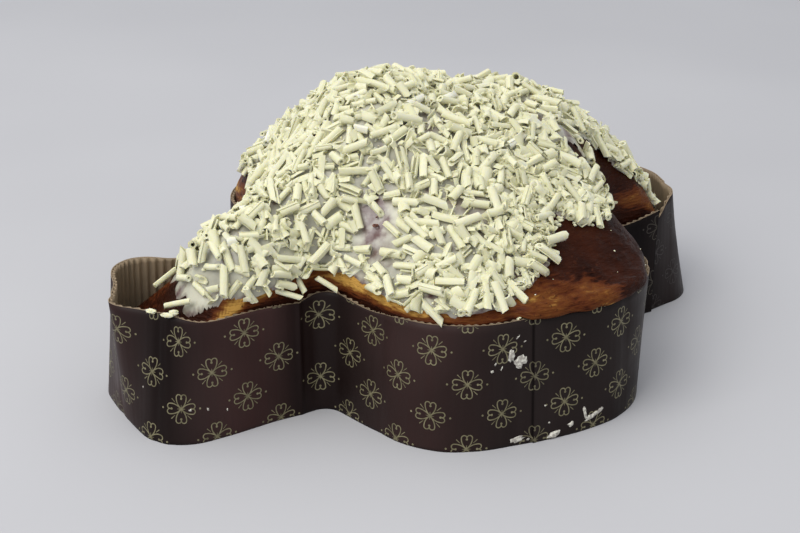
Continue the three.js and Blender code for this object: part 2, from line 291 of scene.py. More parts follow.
# Uneven patches, which most of the finishes here have: a noise over the place on the object,
# stretched between two levels. The scale counts patches in a metre.
patches = bpy.data.node_groups.new("uneven_patches", "ShaderNodeTree")
for socket_name, socket_value in (("Scale", 100.0), ("Detail", 3.0), ("Low", 0.35), ("High", 0.65)):
    number = patches.interface.new_socket(socket_name, in_out="INPUT", socket_type="NodeSocketFloat")
    number.default_value = socket_value
direction = patches.interface.new_socket("Stretch", in_out="INPUT", socket_type="NodeSocketVector")
direction.default_value = (1, 1, 1)
patches.interface.new_socket("Value", in_out="OUTPUT", socket_type="NodeSocketFloat")
group_in = patches.nodes.new("NodeGroupInput")
group_out = patches.nodes.new("NodeGroupOutput")
on_object = add_node(patches, "ShaderNodeTexCoord").outputs["Object"]
stretched = add_node(patches, "ShaderNodeVectorMath", set_operation="MULTIPLY", in_0=on_object)
patches.links.new(group_in.outputs["Stretch"], stretched.inputs[1])
grain = add_node(patches, "ShaderNodeTexNoise", Vector=stretched.outputs[0])
patches.links.new(group_in.outputs["Scale"], grain.inputs["Scale"])
patches.links.new(group_in.outputs["Detail"], grain.inputs["Detail"])
level = add_node(patches, "ShaderNodeMapRange", Value=grain.outputs[0])
patches.links.new(group_in.outputs["Low"], level.inputs["From Min"])
patches.links.new(group_in.outputs["High"], level.inputs["From Max"])
patches.links.new(level.outputs[0], group_out.inputs["Value"])


def uneven(tree, scale, detail=3.0, low=0.35, high=0.65, stretch=(1, 1, 1)):
    """The uneven patches' value in a material."""
    node = tree.nodes.new("ShaderNodeGroup")
    node.node_tree = patches
    node.inputs["Scale"].default_value = scale
    node.inputs["Detail"].default_value = detail
    node.inputs["Low"].default_value = low
    node.inputs["High"].default_value = high
    node.inputs["Stretch"].default_value = stretch
    return node.outputs["Value"]


def mix_colors(tree, share, first, second):
    """A mix of two colours, each a colour or a socket."""
    node = add_node(tree, "ShaderNodeMix", set_data_type="RGBA")
    for socket, value in ((node.inputs[0], share), (node.inputs[6], first), (node.inputs[7], second)):
        if isinstance(value, bpy.types.NodeSocket):
            tree.links.new(value, socket)
        elif isinstance(value, tuple):
            socket.default_value = (*value, 1)
        else:
            socket.default_value = value
    return node.outputs[2]


def roughen(tree, shader, height, distance, strength=1.0):
    """Bump on a shader from a height value."""
    bump = add_node(tree, "ShaderNodeBump", Height=height, Distance=distance, Strength=strength)
    tree.links.new(bump.outputs["Normal"], shader.inputs["Normal"])


PAPER_THICKNESS = 0.35
stations = np.arange(0, GIRTH - 0.2, FLUTE / 8)
stations = np.sort(np.concatenate((stations, [WING_SEAM - 0.02, HEAD_SEAM + 0.02])))
rim = rim_height(stations)
outer_rows = [0, 1.5, 6, 12, 18, 24, 30, 36, 42, 47, 52, WALL_HEIGHT]
inner_rows = [WALL_HEIGHT, 50, 42, 0]


def band_ring(height, inset):
    """Corners of the band at a height, or on the rim where that is lower."""
    z = np.minimum(height, rim)
    return on_wall(stations, z, band_relief(stations, z) + inset)


band_rings = [band_ring(z, 0) for z in outer_rows] + [band_ring(z, PAPER_THICKNESS) for z in inner_rows]
printed_band = make_mesh(
    "printed_band",
    np.concatenate(band_rings),
    ring_faces(len(band_rings), len(stations), closed=True),
)

# The print's brown is warmer on the tail and at the notch. The attribute says how warm.
WARM = [  # x, y, how much, reach
    (-105, -40, 1.0, 17),
    (-150, -2, 0.7, 9),
    (-50, -84, 0.6, 17),
    (-120, 40, 0.6, 30),
    (-20, 112, 0.5, 40),
]
band_points = np.concatenate(band_rings)
mark(printed_band, "warm", np.clip(nearby(WARM, *band_points[:, :2].T), 0, 1))

# Painted shade: the paper is darkened in its folds, at the notch, at the tail's tip, along the front wing
# and in the crook by the head's seam, and a painted shadow runs along the cut edge of each lap.
PAINTED_SHADE = [  # x, y, how much, reach
    (-140, -27, 0.75, 7),
    (-84, -40, 0.55, 5),
    (-70, -46, 0.5, 7),
    (98, -36, 1.0, 13),
    (-149, -8, 0.4, 10),
    (12, -112, 0.3, 14),
    (46, -102, 0.25, 18),
]
EDGE_SHADOW = 0.45  # half-width of the dark line at a lap's edge
EDGE_SHADOW_STRENGTH = 0.9
band_along = np.tile(stations, len(band_rings))
painted_shade = nearby(PAINTED_SHADE, *band_points[:, :2].T)
for seam, _, _ in SEAMS:
    painted_shade = painted_shade + EDGE_SHADOW_STRENGTH * np.exp(-(((band_along - seam) / EDGE_SHADOW) ** 2))
mark(printed_band, "painted_shade", np.clip(painted_shade, 0, 1))

chocolate_paper, tree, shader = new_material("chocolate_paper", (0.02, 0.012, 0.011), 0.42)
warm_here = marked(tree, "warm")
cloudy = uneven(tree, 16, 2.0, 0.38, 0.66)
streaks = uneven(tree, 240, 3.0, 0.3, 0.75, (1, 1, 0.03))
cool_browns = mix_colors(tree, cloudy, (0.0130, 0.0078, 0.0070), (0.0210, 0.0130, 0.0120))
warm_browns = mix_colors(tree, cloudy, (0.0300, 0.0115, 0.0100), (0.0540, 0.0240, 0.0220))
browns = mix_colors(tree, warm_here, cool_browns, warm_browns)
# The painted shade turns the brown towards near black and dulls the paper's sheen there.
painted_shade_here = marked(tree, "painted_shade")
faded = add_node(tree, "ShaderNodeMath", set_operation="MULTIPLY", in_0=streaks, in_1=0.3)
browns = mix_colors(tree, faded.outputs[0], browns, (0.025, 0.0165, 0.0150))
tree.links.new(mix_colors(tree, painted_shade_here, browns, (0.0045, 0.0026, 0.0024)), shader.inputs["Base Color"])
sheen_in_shade = add_node(tree, "ShaderNodeMapRange", Value=painted_shade_here, To_Min=0.14, To_Max=0.07)
tree.links.new(sheen_in_shade.outputs[0], shader.inputs["Specular IOR Level"])
rough = add_node(tree, "ShaderNodeMapRange", Value=uneven(tree, 45, 4.0), To_Min=0.38, To_Max=0.55)
tree.links.new(rough.outputs[0], shader.inputs["Roughness"])
roughen(tree, shader, streaks, 0.0001, 0.35)

# The back of the printed paper and its cut edge are bare kraft.
kraft_paper, tree, shader = new_material("kraft_paper", (0.25, 0.18, 0.11), 0.8)
fibres = uneven(tree, 900, 4.0, 0.3, 0.7, (1, 1, 0.3))
kraft_tones = mix_colors(tree, uneven(tree, 35, 3.0), (0.225, 0.165, 0.105), (0.37, 0.265, 0.165))
tree.links.new(mix_colors(tree, fibres, kraft_tones, (0.24, 0.185, 0.12)), shader.inputs["Base Color"])
roughen(tree, shader, fibres, 0.0001, 0.4)

printed_band.data.materials.append(chocolate_paper)
printed_band.data.materials.append(kraft_paper)
for face in printed_band.data.polygons[(len(outer_rows) - 1) * len(stations) :]:
    face.material_index = 1
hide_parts("paper_mould")
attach(printed_band, "root")

# ---------------------------------------------------------------- kraft flutes and base
# Behind the printed paper the board is bare: waved kraft paper, grey-brown, whose edge shows as a
# thin wavy line along the rim and whose ribs show inside the tail and the head. The mould's base
# is a flat sheet of the same board, glued inside the foot of the wall.

FLUTE_IN = 0.45  # the waved sheet lies between these two insets
FLUTE_OUT = 1.85
KRAFT = 0.3  # its thickness
FRAY = 0.2  # how uneven its upper edge is

middle = (FLUTE_IN + FLUTE_OUT) / 2
swing = (FLUTE_OUT - FLUTE_IN - KRAFT) / 2
wave = swing * np.cos(math.tau * stations / FLUTE)


def flute_ring(height, side):
    """Corners of the waved sheet at a height, on its outer (-1) or inner (1) side."""
    z = np.minimum(height, rim - FRAY / 2 + FRAY * smooth_noise(stations / 5, 0.0, 8.0))
    return on_wall(stations, z, middle + wave + side * KRAFT / 2 + band_relief(stations, z))


flute_rows = [0.6, 14, 28, 36, 42, 48, 53, WALL_HEIGHT]
flute_rings = [flute_ring(z, -1) for z in flute_rows] + [flute_ring(z, 1) for z in flute_rows[::-1]]
kraft_flutes = make_mesh(
    "kraft_flutes",
    np.concatenate(flute_rings),
    ring_faces(len(flute_rings), len(stations), closed=True),
)

BASE_TOP = 1.2
BASE_GAP = 0.15  # under the base, and between it and the printed paper
base_stations = np.arange(0, GIRTH - 0.5, 1.0)
base_inset = band_relief(base_stations, 0.0) + PAPER_THICKNESS + BASE_GAP
base_outline = on_wall(base_stations, 0.0, base_inset)
base_rings = [base_outline * (1, 1, 0) + (0, 0, z) for z in (BASE_GAP, BASE_TOP)]
_, _, base_faces, *_ = delaunay_2d_cdt(
    [Vector(p[:2]) for p in base_outline], [], [list(range(len(base_outline)))], 1, 1e-4
)
base_count = len(base_outline)
mould_base = make_mesh(
    "mould_base",
    np.concatenate(base_rings),
    ring_faces(2, base_count)
    + [tuple(base_count + i for i in face) for face in base_faces]
    + [tuple(reversed(face)) for face in base_faces],
)

for piece in (kraft_flutes, mould_base):
    piece.data.materials.append(kraft_paper)
    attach(piece, "root")

# ---------------------------------------------------------------- gold print
# Rows of four-leaved clovers in gold ink on the band: four outlined hearts round a small star,
# with a dot in each heart's notch, two hairlines between each pair of leaves, and a dot on
# either side. Every second row is set half a step along.

PRINT_STEP = 30.2  # between the clovers of a row
PRINT_ROW = 14.5  # between two rows
PRINT_ROWS = 5
PRINT_TOP_ROW = 59.4
PRINT_START = 486.6  # along the wall, the middle of one clover in the second row
PRINT_TILT = -2  # degrees
# How far the print slips along the wall where the board is bent or lapped: where, by how much
PRINT_SLIPS = [
    (430, 0),
    (450, -4),
    (470, 0),
    (532, -0.5),
    (552, 5.2),
    (578, 1.5),
    (612, 3),
    (644, 3),
    (670, 1.2),
    (730, 0),
]
# Half of a heart, from the clover's middle: where its side starts, two points that bend it, and
# its widest place, then the round of its lobe. First outward, then to the side.
HEART_SIDE = [(0.45, 0.4), (1.7, 1.65), (3.3, 2.45), (5.35, 2.45)]
LOBE = (5.35, 1.23)
LOBE_RADIUS = 1.22
LINE = 0.5  # width of the hearts' outline
SPOKE = (0.3, 1.9)  # of the star in the middle, from and to
SPOKE_WIDTHS = (0.5, 0.14)
HAIRLINE = (4.1, 6.6)  # between two leaves, from and to
HAIRLINE_WIDTHS = (0.22, 0.42)
# Dots: how far out, and radius
STAR_DOT = 0.62
NOTCH_DOT, NOTCH_RADIUS = 4.7, 0.55
SIDE_DOT, SIDE_RADIUS = 8.9, 0.5
CLOVER_SIZE = 0.95
INK = 0.05  # how far the ink stands off the paper


def heart_half():
    """The line of half a heart that opens along +x."""
    t = np.linspace(0, 1, 8)[:, None]
    start, bend, shoulder, widest = (np.array(point) for point in HEART_SIDE)
    near_start = (1 - t) ** 3 * start + 3 * (1 - t) ** 2 * t * bend
    flank = near_start + 3 * (1 - t) * t**2 * shoulder + t**3 * widest
    angles = np.radians(np.linspace(90, -80, 10)[1:])
    lobe = LOBE + LOBE_RADIUS * np.stack((np.cos(angles), np.sin(angles)), 1)
    return np.concatenate((flank, lobe, [(NOTCH_DOT, 0.0)]))


def turned(points, angle):
    """Plan points turned about the middle."""
    c, s = math.cos(angle), math.sin(angle)
    return np.asarray(points) @ np.array(((c, s), (-s, c)))


def stroke(points, width):
    """Quads along an open line: each is four plan points."""
    points = np.asarray(points, float)
    ahead = np.diff(points, axis=0)
    ahead = ahead / np.hypot(*ahead.T)[:, None]
    way = np.concatenate((ahead[:1], ahead)) + np.concatenate((ahead, ahead[-1:]))
    way = way / np.maximum(np.hypot(*way.T), 0.8)[:, None]
    across = np.stack((-way[:, 1], way[:, 0]), 1) * (np.broadcast_to(width, len(points)) / 2)[:, None]
    left, right = points + across, points - across
    return [(right[i], right[i + 1], left[i + 1], left[i]) for i in range(len(points) - 1)]


def dot(middle_point, radius):
    """Quads of a round dot."""
    x, y = middle_point
    angles = [math.tau * k / 8 for k in range(8)]
    edge = [(x + radius * math.cos(angle), y + radius * math.sin(angle)) for angle in angles]
    quads = [((x, y), edge[k], edge[k + 1], edge[(k + 2) % 8]) for k in (0, 2, 4, 6)]
    return [tuple(np.array(p) for p in quad) for quad in quads]


clover = dot((0, 0), STAR_DOT)
for quarter in range(4):
    turn = quarter * math.pi / 2 + math.radians(PRINT_TILT)
    for half in (heart_half(), heart_half() * (1, -1)):
        clover += stroke(turned(half, turn), LINE)
    clover += dot(turned([(NOTCH_DOT, 0)], turn)[0], NOTCH_RADIUS)
    clover += stroke(turned([(r, 0) for r in SPOKE], turn), SPOKE_WIDTHS)
    clover += stroke(turned([(r, 0) for r in HAIRLINE], turn + math.pi / 4), HAIRLINE_WIDTHS)
for side in (-1, 1):
    clover += dot(turned([(side * SIDE_DOT, 0)], math.radians(PRINT_TILT))[0], SIDE_RADIUS)
clover = np.array(clover) * CLOVER_SIZE

# The printed strip starts and ends at the head's seam. Print that would cross an end or the
# rim stops just short of it.
STRIP_START = HEAD_SEAM - GIRTH
END_MARGIN = 0.2
RIM_MARGIN = 0.25
LOWEST_INK = 0.3
ink_corners = []
for row in range(PRINT_ROWS):
    height = PRINT_TOP_ROW - row * PRINT_ROW
    first = STRIP_START + (PRINT_START + (0 if row % 2 else PRINT_STEP / 2) - STRIP_START) % PRINT_STEP
    for middle_along in np.arange(first, HEAD_SEAM + PRINT_STEP, PRINT_STEP):
        slip = np.interp(middle_along, *zip(*PRINT_SLIPS))
        ink_corners.append(clover + (middle_along + slip, height))
ink_corners = np.concatenate(ink_corners)
on_strip = np.abs(ink_corners[..., 0] - (STRIP_START + HEAD_SEAM) / 2) < GIRTH / 2 - END_MARGIN
ink_corners = ink_corners[on_strip.all(1)]
rim_there = rim_height(ink_corners[..., 0])
ink_corners[..., 1] = np.clip(ink_corners[..., 1], LOWEST_INK, rim_there - RIM_MARGIN)
ink_corners = ink_corners[np.ptp(ink_corners[..., 1], axis=1) > 0.02]
ink_along, ink_z = ink_corners[..., 0].ravel(), ink_corners[..., 1].ravel()
ink_points = on_wall(ink_along, ink_z, band_relief(ink_along, ink_z) - INK)
gold_print = make_mesh(
    "gold_print",
    ink_points,
    [(4 * k, 4 * k + 1, 4 * k + 2, 4 * k + 3) for k in range(len(ink_corners))],
)

# Where the print fades almost into the paper's brown: along the strip, how faint, reach
FAINT = [
    (-20, 1.0, 22),
    (-44, 1.0, 12),
    (812, 0.95, 13),
    (722, 0.55, 12),
    (655, 0.35, 3),
    (440, 0.5, 8),
]
faint = sum(share * np.exp(-0.5 * ((ink_along - place) / reach) ** 2) for place, share, reach in FAINT)
mark(gold_print, "faint", np.clip(faint, 0, 1))

gold_ink, tree, shader = new_material("gold_ink", (0.21, 0.19, 0.10), 0.45)
shader.inputs["Metallic"].default_value = 0.2
shader.inputs["Specular IOR Level"].default_value = 0.4
worn = uneven(tree, 420, 3.0, 0.3, 0.7)
golds = mix_colors(tree, worn, (0.125, 0.110, 0.058), (0.245, 0.220, 0.125))
faint_here = marked(tree, "faint")
tree.links.new(mix_colors(tree, faint_here, golds, (0.024, 0.0175, 0.0150)), shader.inputs["Base Color"])
gold_print.data.materials.append(gold_ink)
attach(gold_print, "root")

# ---------------------------------------------------------------- smears on the paper
# Drops of icing and bits of chocolate fell on the printed paper while the cake was dressed, were
# pressed flat there and dried. Each is a thin ragged fleck with a low middle.

SMEARS = [  # along the wall, height, half-length, half-width, turned by degrees, thickness
    (644.5, 41.2, 2.5, 1.4, 80, 0.55),
    (648.8, 38.2, 2.9, 2.4, 30, 0.3),
    (647.5, 49.0, 1.0, 0.35, 40, 0.2),
    (650.5, 46.5, 0.6, 0.3, 20, 0.2),
    (636.0, 35.5, 0.7, 0.55, 0, 0.4),
    (637.4, 38.6, 0.8, 0.3, 60, 0.2),
    (640.2, 36.4, 1.0, 0.25, 70, 0.15),
    (679.4, 8.4, 3.3, 0.75, 108, 0.5),
    (683.4, 5.9, 4.3, 1.0, 14, 0.6),
    (687.6, 7.2, 2.0, 0.9, 30, 0.5),
    (672.4, 4.8, 1.7, 0.9, 22, 0.5),
    (662.0, 7.8, 0.5, 0.4, 0, 0.3),
    (660.0, 16.0, 0.5, 0.45, 0, 0.3),
    (664.5, 1.9, 2.8, 1.2, 16, 0.8),
    (647.5, 2.6, 3.1, 1.2, 8, 0.35),
    (652.5, 2.0, 0.8, 0.5, 0, 0.3),
    (490.5, 15.2, 0.6, 0.5, 0, 0.4),
    (498.4, 14.6, 0.5, 0.65, 0, 0.4),
    (506.8, 12.4, 0.3, 0.6, 0, 0.3),
    (466.0, 22.0, 0.3, 0.5, 0, 0.2),
    (213.0, 31.0, 0.9, 0.6, 30, 0.4),
    (131.0, 12.0, 0.6, 0.5, 10, 0.3),
]
SMEAR_POINTS = 16
smear_chance = np.random.default_rng(11)
smear_vertices, smear_faces = [], []
for along, height, half_length, half_width, degrees, thick in SMEARS:
    around = np.linspace(0, math.tau, SMEAR_POINTS, endpoint=False)
    ragged = 1 + 0.22 * smear_chance.normal(0, 1, SMEAR_POINTS).clip(-1.5, 1.5)
    for share, stand_off in ((1, 0.03), (0.72, 0.8 * thick), (0.3, thick)):
        flat = np.stack((half_length * np.cos(around), half_width * np.sin(around)), 1)
        flat = turned(flat * (ragged * share)[:, None], math.radians(degrees))
        run, up = along + flat[:, 0], np.clip(height + flat[:, 1], 0.2, None)
        bumps = stand_off * (1 + 0.25 * smear_chance.normal(0, 1, SMEAR_POINTS) * (share < 1))
        smear_vertices.append(on_wall(run, up, band_relief(run, up) - INK - bumps))
    first = (len(smear_vertices) - 3) * SMEAR_POINTS
    smear_faces += [tuple(first + i for i in face) for face in ring_faces(3, SMEAR_POINTS)]
    smear_faces.append(tuple(first + 2 * SMEAR_POINTS + i for i in range(SMEAR_POINTS)))
smears = make_mesh("icing_smears", np.concatenate(smear_vertices), smear_faces)

dried_icing, tree, shader = new_material("dried_icing", (0.6, 0.58, 0.5), 0.6)
scraped = uneven(tree, 900, 3.0, 0.42, 0.62)
smear_tones = mix_colors(tree, scraped, (0.36, 0.33, 0.29), (0.76, 0.74, 0.64))
tree.links.new(smear_tones, shader.inputs["Base Color"])
smears.data.materials.append(dried_icing)
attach(smears, "root")

# ---------------------------------------------------------------- dough
# The bread itself, a sweet egg dough baked in the mould. It rises over the rim as a dome of soft
# mounds with folds between them, bulges over the paper in front, and falls short of the tail's and
# the head's ends. The crust is glossy mahogany on top and paler, golden, where it split low down.

PAPER_ALL = 1.7  # board and flutes together
GAP = 0.3
CLEAR = PAPER_ALL + GAP
EDGE_HEIGHT = 54.5  # where the crust leaves the wall
# Where it leaves it lower: at the tail's end, at the head's end, and on the tail's back side
TAIL_SINK = (26, -118, 5)  # depth, where along X, how soft
HEAD_SINK = (25, 117, 5)
TAIL_BACK_SINK = (11, -116, -84, 6, 5.5)  # depth, X from and to, y, how soft
BULGE = 46  # over this distance from the wall it rounds up to its full height
BULGE_POWER = 2.2
DOME_BASE = 9
MOUNDS = [  # x, y, height, half-widths along x and y
    (-22, -3, 51.5, 38, 37),
    (65, 12, 40.5, 31, 45),
    (-8, 60, 28, 39, 40),
    (22, 16, 4, 15, 28),
    (-6, -68, 11, 39, 17),
    (-104, -22, 22, 32, 16),
    (47, -37, 20, 34, 16),
    (60, -78, 6, 15, 20),
]
FOLDS = [  # from x, y to x, y, depth, width
    (84, -40, 44, -20, 5, 4.5),
    (52, 40, 0, -6, 3, 6),
    (2, -103, 22, -99, 2.5, 2.5),
]
WRINKLES = (0.5, 0.30, 0.13)  # height of the broad, the small and the finest ones
TEARS = 0.8  # height of the tears in the golden crust
STREAKS = 0.35  # how much its colour runs in streaks
DOUGH_STEP = 1.15
GRID_HALF = (150, 110)  # half-lengths along x and y of the grid that the top is cut from
LIP_FROM, LIP_TO = 650, 724  # along the wall, where the crust hangs over the rim
LIP_SOFT = (1.6, 4)  # over what length it starts and ends
# The lip's section: how far in from the wall's face, and how high
LIP_SECTION = [
    (0.3, 56.4),
    (-0.5, 56.4),
    (-1.3, 55.5),
    (-1.9, 55.9),
    (-2.1, 57.2),
    (-1.4, 59.2),
    (0.3, 61.5),
]
LIP_WAVE = 0.45
# Insets of the rings of corners that lie between the dough's edge and the grid
DOUGH_INSETS = [0.2, 0.5, 0.9, 1.4, 2.0, 2.7, 3.5, 4.4, 5.4, 6.5, 7.7, 9.0, 10.4, 12.0]


def rise(t):
    """A soft step from 0 to 1."""
    return 1 / (1 + np.exp(-t))


guide_stations = np.arange(0, GIRTH - 0.5, 1.5)
dough_ring = on_wall(guide_stations, WALL_HEIGHT, 1 + GAP)[:, :2]


def signed_distance(points, ring_points):
    """How far inside a closed ring each plan point lies, negative outside."""
    after = np.roll(ring_points, -1, 0)
    edges = after - ring_points
    lengths = (edges**2).sum(1)
    found = np.empty(len(points))
    for start in range(0, len(points), 4000):
        some = points[start : start + 4000]
        offset = some[:, None] - ring_points[None]
        share = np.clip((offset * edges).sum(2) / lengths, 0, 1)
        gap = offset - share[..., None] * edges
        distance = np.sqrt((gap**2).sum(2).min(1))
        x, y = some[:, 0, None], some[:, 1, None]
        crosses = (ring_points[:, 1] > y) != (after[:, 1] > y)
        with np.errstate(divide="ignore", invalid="ignore"):
            cross_x = ring_points[:, 0] + edges[:, 0] * (y - ring_points[:, 1]) / edges[:, 1]
        inside = (crosses & (x < cross_x)).sum(1) % 2 == 1
        found[start : start + 4000] = np.where(inside, distance, -distance)
    return found


def distance_to_line(x, y, x1, y1, x2, y2):
    """How far plan points lie from the line between two others."""
    dx, dy = x2 - x1, y2 - y1
    share = np.clip(((x - x1) * dx + (y - y1) * dy) / (dx * dx + dy * dy), 0, 1)
    return np.hypot(x - x1 - share * dx, y - y1 - share * dy)


def edge_height(x, y):
    """Height at which the crust leaves the wall."""
    tail = TAIL_SINK[0] * rise((TAIL_SINK[1] - x) / TAIL_SINK[2])
    head = HEAD_SINK[0] * rise((x - HEAD_SINK[1]) / HEAD_SINK[2])
    depth, from_x, to_x, side, soft = TAIL_BACK_SINK
    back = depth * rise((y - side) / soft) * rise((to_x - x) / soft) * rise((x - from_x) / soft)
    return EDGE_HEIGHT - tail - head - back


def crust_height(x, y, inside):
    """Height of the crust over plan points that lie this far inside the mould."""
    dome = DOME_BASE + sum(
        high * np.exp(-0.5 * (((x - mx) / half_x) ** 2 + ((y - my) / half_y) ** 2))
        for mx, my, high, half_x, half_y in MOUNDS
    )
    folds = sum(
        depth * np.exp(-0.5 * (distance_to_line(x, y, x1, y1, x2, y2) / width) ** 2)
        for x1, y1, x2, y2, depth, width in FOLDS
    )
    short = 1 - np.clip(inside / BULGE, 0, 1)
    round_up = np.sqrt(np.maximum(1 - short**BULGE_POWER, 0))
    wrinkle = WRINKLES[0] * np.sin(x * 0.31 + 1.3 * np.sin(y * 0.13)) * np.sin(y * 0.27 + x * 0.07)
    return edge_height(x, y) + round_up * (dome - folds + wrinkle)


side_stations = np.arange(0, GIRTH - 0.6, DOUGH_STEP)
side_count = len(side_stations)
edge_there = on_wall(side_stations, EDGE_HEIGHT)
edge_z = edge_height(edge_there[:, 0], edge_there[:, 1])
dough_bottom = on_wall(side_stations, BASE_TOP + GAP, CLEAR)
dough_edge = on_wall(side_stations, edge_z, CLEAR)
inset_rings = [on_wall(side_stations, edge_z, CLEAR + inset) for inset in DOUGH_INSETS]
last_ring = inset_rings[-1][:, :2]
half_x, half_y = GRID_HALF
grid_rows = np.arange(-half_y, half_y, DOUGH_STEP * math.sqrt(0.75))
grid = np.array(
    [
        (x, y)
        for k, y in enumerate(grid_rows)
        for x in np.arange(-half_x + (k % 2) * DOUGH_STEP / 2, half_x, DOUGH_STEP)
    ]
)
grid = grid[signed_distance(grid, last_ring) > DOUGH_STEP * 0.6]
_, _, flat_faces, *_ = delaunay_2d_cdt(
    [Vector(p) for p in np.concatenate((last_ring, grid))], [], [list(range(side_count))], 1, 1e-4
)
top_plan = np.concatenate([inset_ring[:, :2] for inset_ring in inset_rings] + [grid])
top_inside = signed_distance(top_plan, dough_ring)
top_z = crust_height(top_plan[:, 0], top_plan[:, 1], top_inside)
top = np.column_stack((top_plan, top_z))
wrinkles = WRINKLES[1] * smooth_noise(top[:, 0] / 5, top[:, 1] / 4 + top[:, 2] / 9, 1.0)
wrinkles += WRINKLES[2] * smooth_noise(top[:, 0] / 1.9, top[:, 1] / 1.9 + top[:, 2] / 5, 2.0)
top[:, 2] += wrinkles * np.clip(top_inside / 2, 0, 1)

# How golden the crust is: low over the rim, most at the notch and under the front wing's icing,
# where the dough tore open as it rose
GOLDEN_HEIGHT, GOLDEN_FADE = 7, 8  # over the crust's edge, and over what height it turns brown
GOLDEN = [  # x, y, how much, reach
    (-66, -48, 1.25, 11),
    (-60, -68, 1.0, 11),
    (-46, -90, 0.6, 12),
    (-18, -103, 0.35, 9),
    (-3, -98, 0.5, 8),
    (13, -103, 0.35, 6),
    (22, -106, 0.5, 5),
    (-98, -38, 0.6, 12),
    (-118, -36, 0.75, 12),
    (104, -28, 0.6, 15),
    (-60, 84, 0.7, 26),
    (52, 98, 0.6, 22),
    (100, 34, 0.6, 20),
    (-100, 36, 0.5, 20),
]
over_edge = top[:, 2] - edge_height(*top_plan.T)
low_down = np.clip(1 - (over_edge - GOLDEN_HEIGHT) / GOLDEN_FADE, 0, 1)
streaks_along = smooth_noise(top[:, 0] / 11 + top[:, 1] / 30, top[:, 1] / 7 + top[:, 2] / 2.2, 12.0)
golden_place = np.clip(nearby(GOLDEN, *top_plan.T), 0, 1) * low_down
golden = np.clip(golden_place * (1 + STREAKS * streaks_along), 0, 1)
tears = 1 - 2 * np.abs(smooth_noise(top[:, 0] / 6 + top[:, 1] / 14, top[:, 1] / 5 + top[:, 2] / 1.5, 13.0))
top[:, 2] += TEARS * tears * golden_place * np.clip(top_inside / 3, 0, 1)

lip_share = rise((side_stations - LIP_FROM) / LIP_SOFT[0])
lip_share = lip_share * rise((LIP_TO - side_stations) / LIP_SOFT[1])
for k, (lip_inset, lip_z) in enumerate(LIP_SECTION):
    uneven_lip = LIP_WAVE * smooth_noise(side_stations / 6, k / 6, 15.0)
    lip_ring = on_wall(side_stations, lip_z + 0.6 * uneven_lip, lip_inset + uneven_lip * (k > 1))
    part_of_top = slice(k * side_count, (k + 1) * side_count)
    top[part_of_top] += (lip_ring - top[part_of_top]) * lip_share[:, None]
dough_vertices = np.concatenate((dough_bottom, dough_edge, top))
last_ring_start = (1 + len(inset_rings)) * side_count
dough_faces = ring_faces(2 + len(inset_rings), side_count)
dough_faces += [tuple(last_ring_start + i for i in face) for face in flat_faces]
dough_faces.append(tuple(reversed(range(side_count))))
dough = make_mesh("dough", dough_vertices, dough_faces)

mark(dough, "golden", np.concatenate((np.zeros(2 * side_count), golden)))

baked_crust, tree, shader = new_material("baked_crust", (0.06, 0.015, 0.006), 0.32)
shader.inputs["IOR"].default_value = 1.22
shader.inputs["Specular IOR Level"].default_value = 0.22
golden_here = marked(tree, "golden")
blotches = uneven(tree, 55, 5.0, 0.34, 0.70)
mahogany = mix_colors(tree, blotches, (0.0125, 0.0030, 0.0015), (0.0380, 0.0088, 0.0032))
torn = uneven(tree, 620, 4.0, 0.34, 0.66, (0.35, 0.35, 1.6))
browned = add_node(
    tree, "ShaderNodeMath", set_operation="MULTIPLY_ADD", in_0=torn, in_1=0.28, in_2=golden_here
)
bake = add_node(tree, "ShaderNodeMath", set_operation="SUBTRACT", in_0=browned.outputs[0], in_1=0.14)
baked_tones = ramp(
    tree,
    bake.outputs[0],
    [
        (0.12, (0.028, 0.0065, 0.0028)),
        (0.3, (0.085, 0.021, 0.0065)),
        (0.6, (0.150, 0.050, 0.0120)),
        (0.9, (0.470, 0.260, 0.0600)),
    ],
)
gold_share = add_node(tree, "ShaderNodeMapRange", Value=bake.outputs[0], From_Min=0.06, From_Max=0.26)
crust_tones = mix_colors(tree, gold_share.outputs[0], mahogany, baked_tones)
freckles = uneven(tree, 700, 2.0, 0.62, 0.74)
tree.links.new(mix_colors(tree, freckles, crust_tones, (0.05, 0.014, 0.006)), shader.inputs["Base Color"])
gloss = add_node(tree, "ShaderNodeMapRange", Value=uneven(tree, 120, 4.0), To_Min=0.30, To_Max=0.50)
tree.links.new(gloss.outputs[0], shader.inputs["Roughness"])
roughen(tree, shader, torn, 0.0006, 0.75)
dough.data.materials.append(baked_crust)
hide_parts("cake")
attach(dough, "root")

# ---------------------------------------------------------------- icing
# A thin sugar icing poured over the crown. It is half see-through: grey-white where it pooled,
# and purplish brown where it ran thin over the ridges. Its edge stops a little short of the
# paper and leaves most of the front wing's head side bare.

ICING = 1.5  # where it pooled
THINNEST = 0.35
EDGE_OFF = 2.1  # how far its edge keeps off the paper
EDGE_ROUND = 3.2  # over this distance from its edge it rounds up to its full thickness
DRIPS = (0.5, 0.35)  # how far its edge runs out and in, in broad and in small waves
RAGGED = 1.2  # how far it frays besides
SUNK_EDGE = 0.12  # how far under the crust its edge lies
RUN_UNDER = 2.5  # how far past its edge the layer goes on under the crust
BARE = [  # x, y, how much further the icing's edge keeps off the paper, reach
    (38, -106, 38, 27),
    (-150, 3, 27, 20),
    (-134, -36, 8, 11),
    (-98, -38, -1.6, 12),
    (148, 0, 24, 22),
    (102, -36, 5, 14),
    (-62, 76, 5, 14),
    (58, 92, 6, 16),
]
# Folds of the crust that the icing left bare: x, y, how strongly, reach
HOLES = [
    (50, -44, 22, 3.5),
    (56, -46, 24, 4),
    (62, -47, 20, 4),
    (70, -31, 24, 4.5),
    (77, -30, 30, 5),
    (83, -29, 22, 4.5),
    (-28, -32, 9, 2.2),
    (-133, 9, 16, 7),
    (-128, 17, 14, 7),
    (-121, 24, 8, 6),
    (-57, 66, 9, 2.5),
    (-61, 48, 8, 2.2),
]
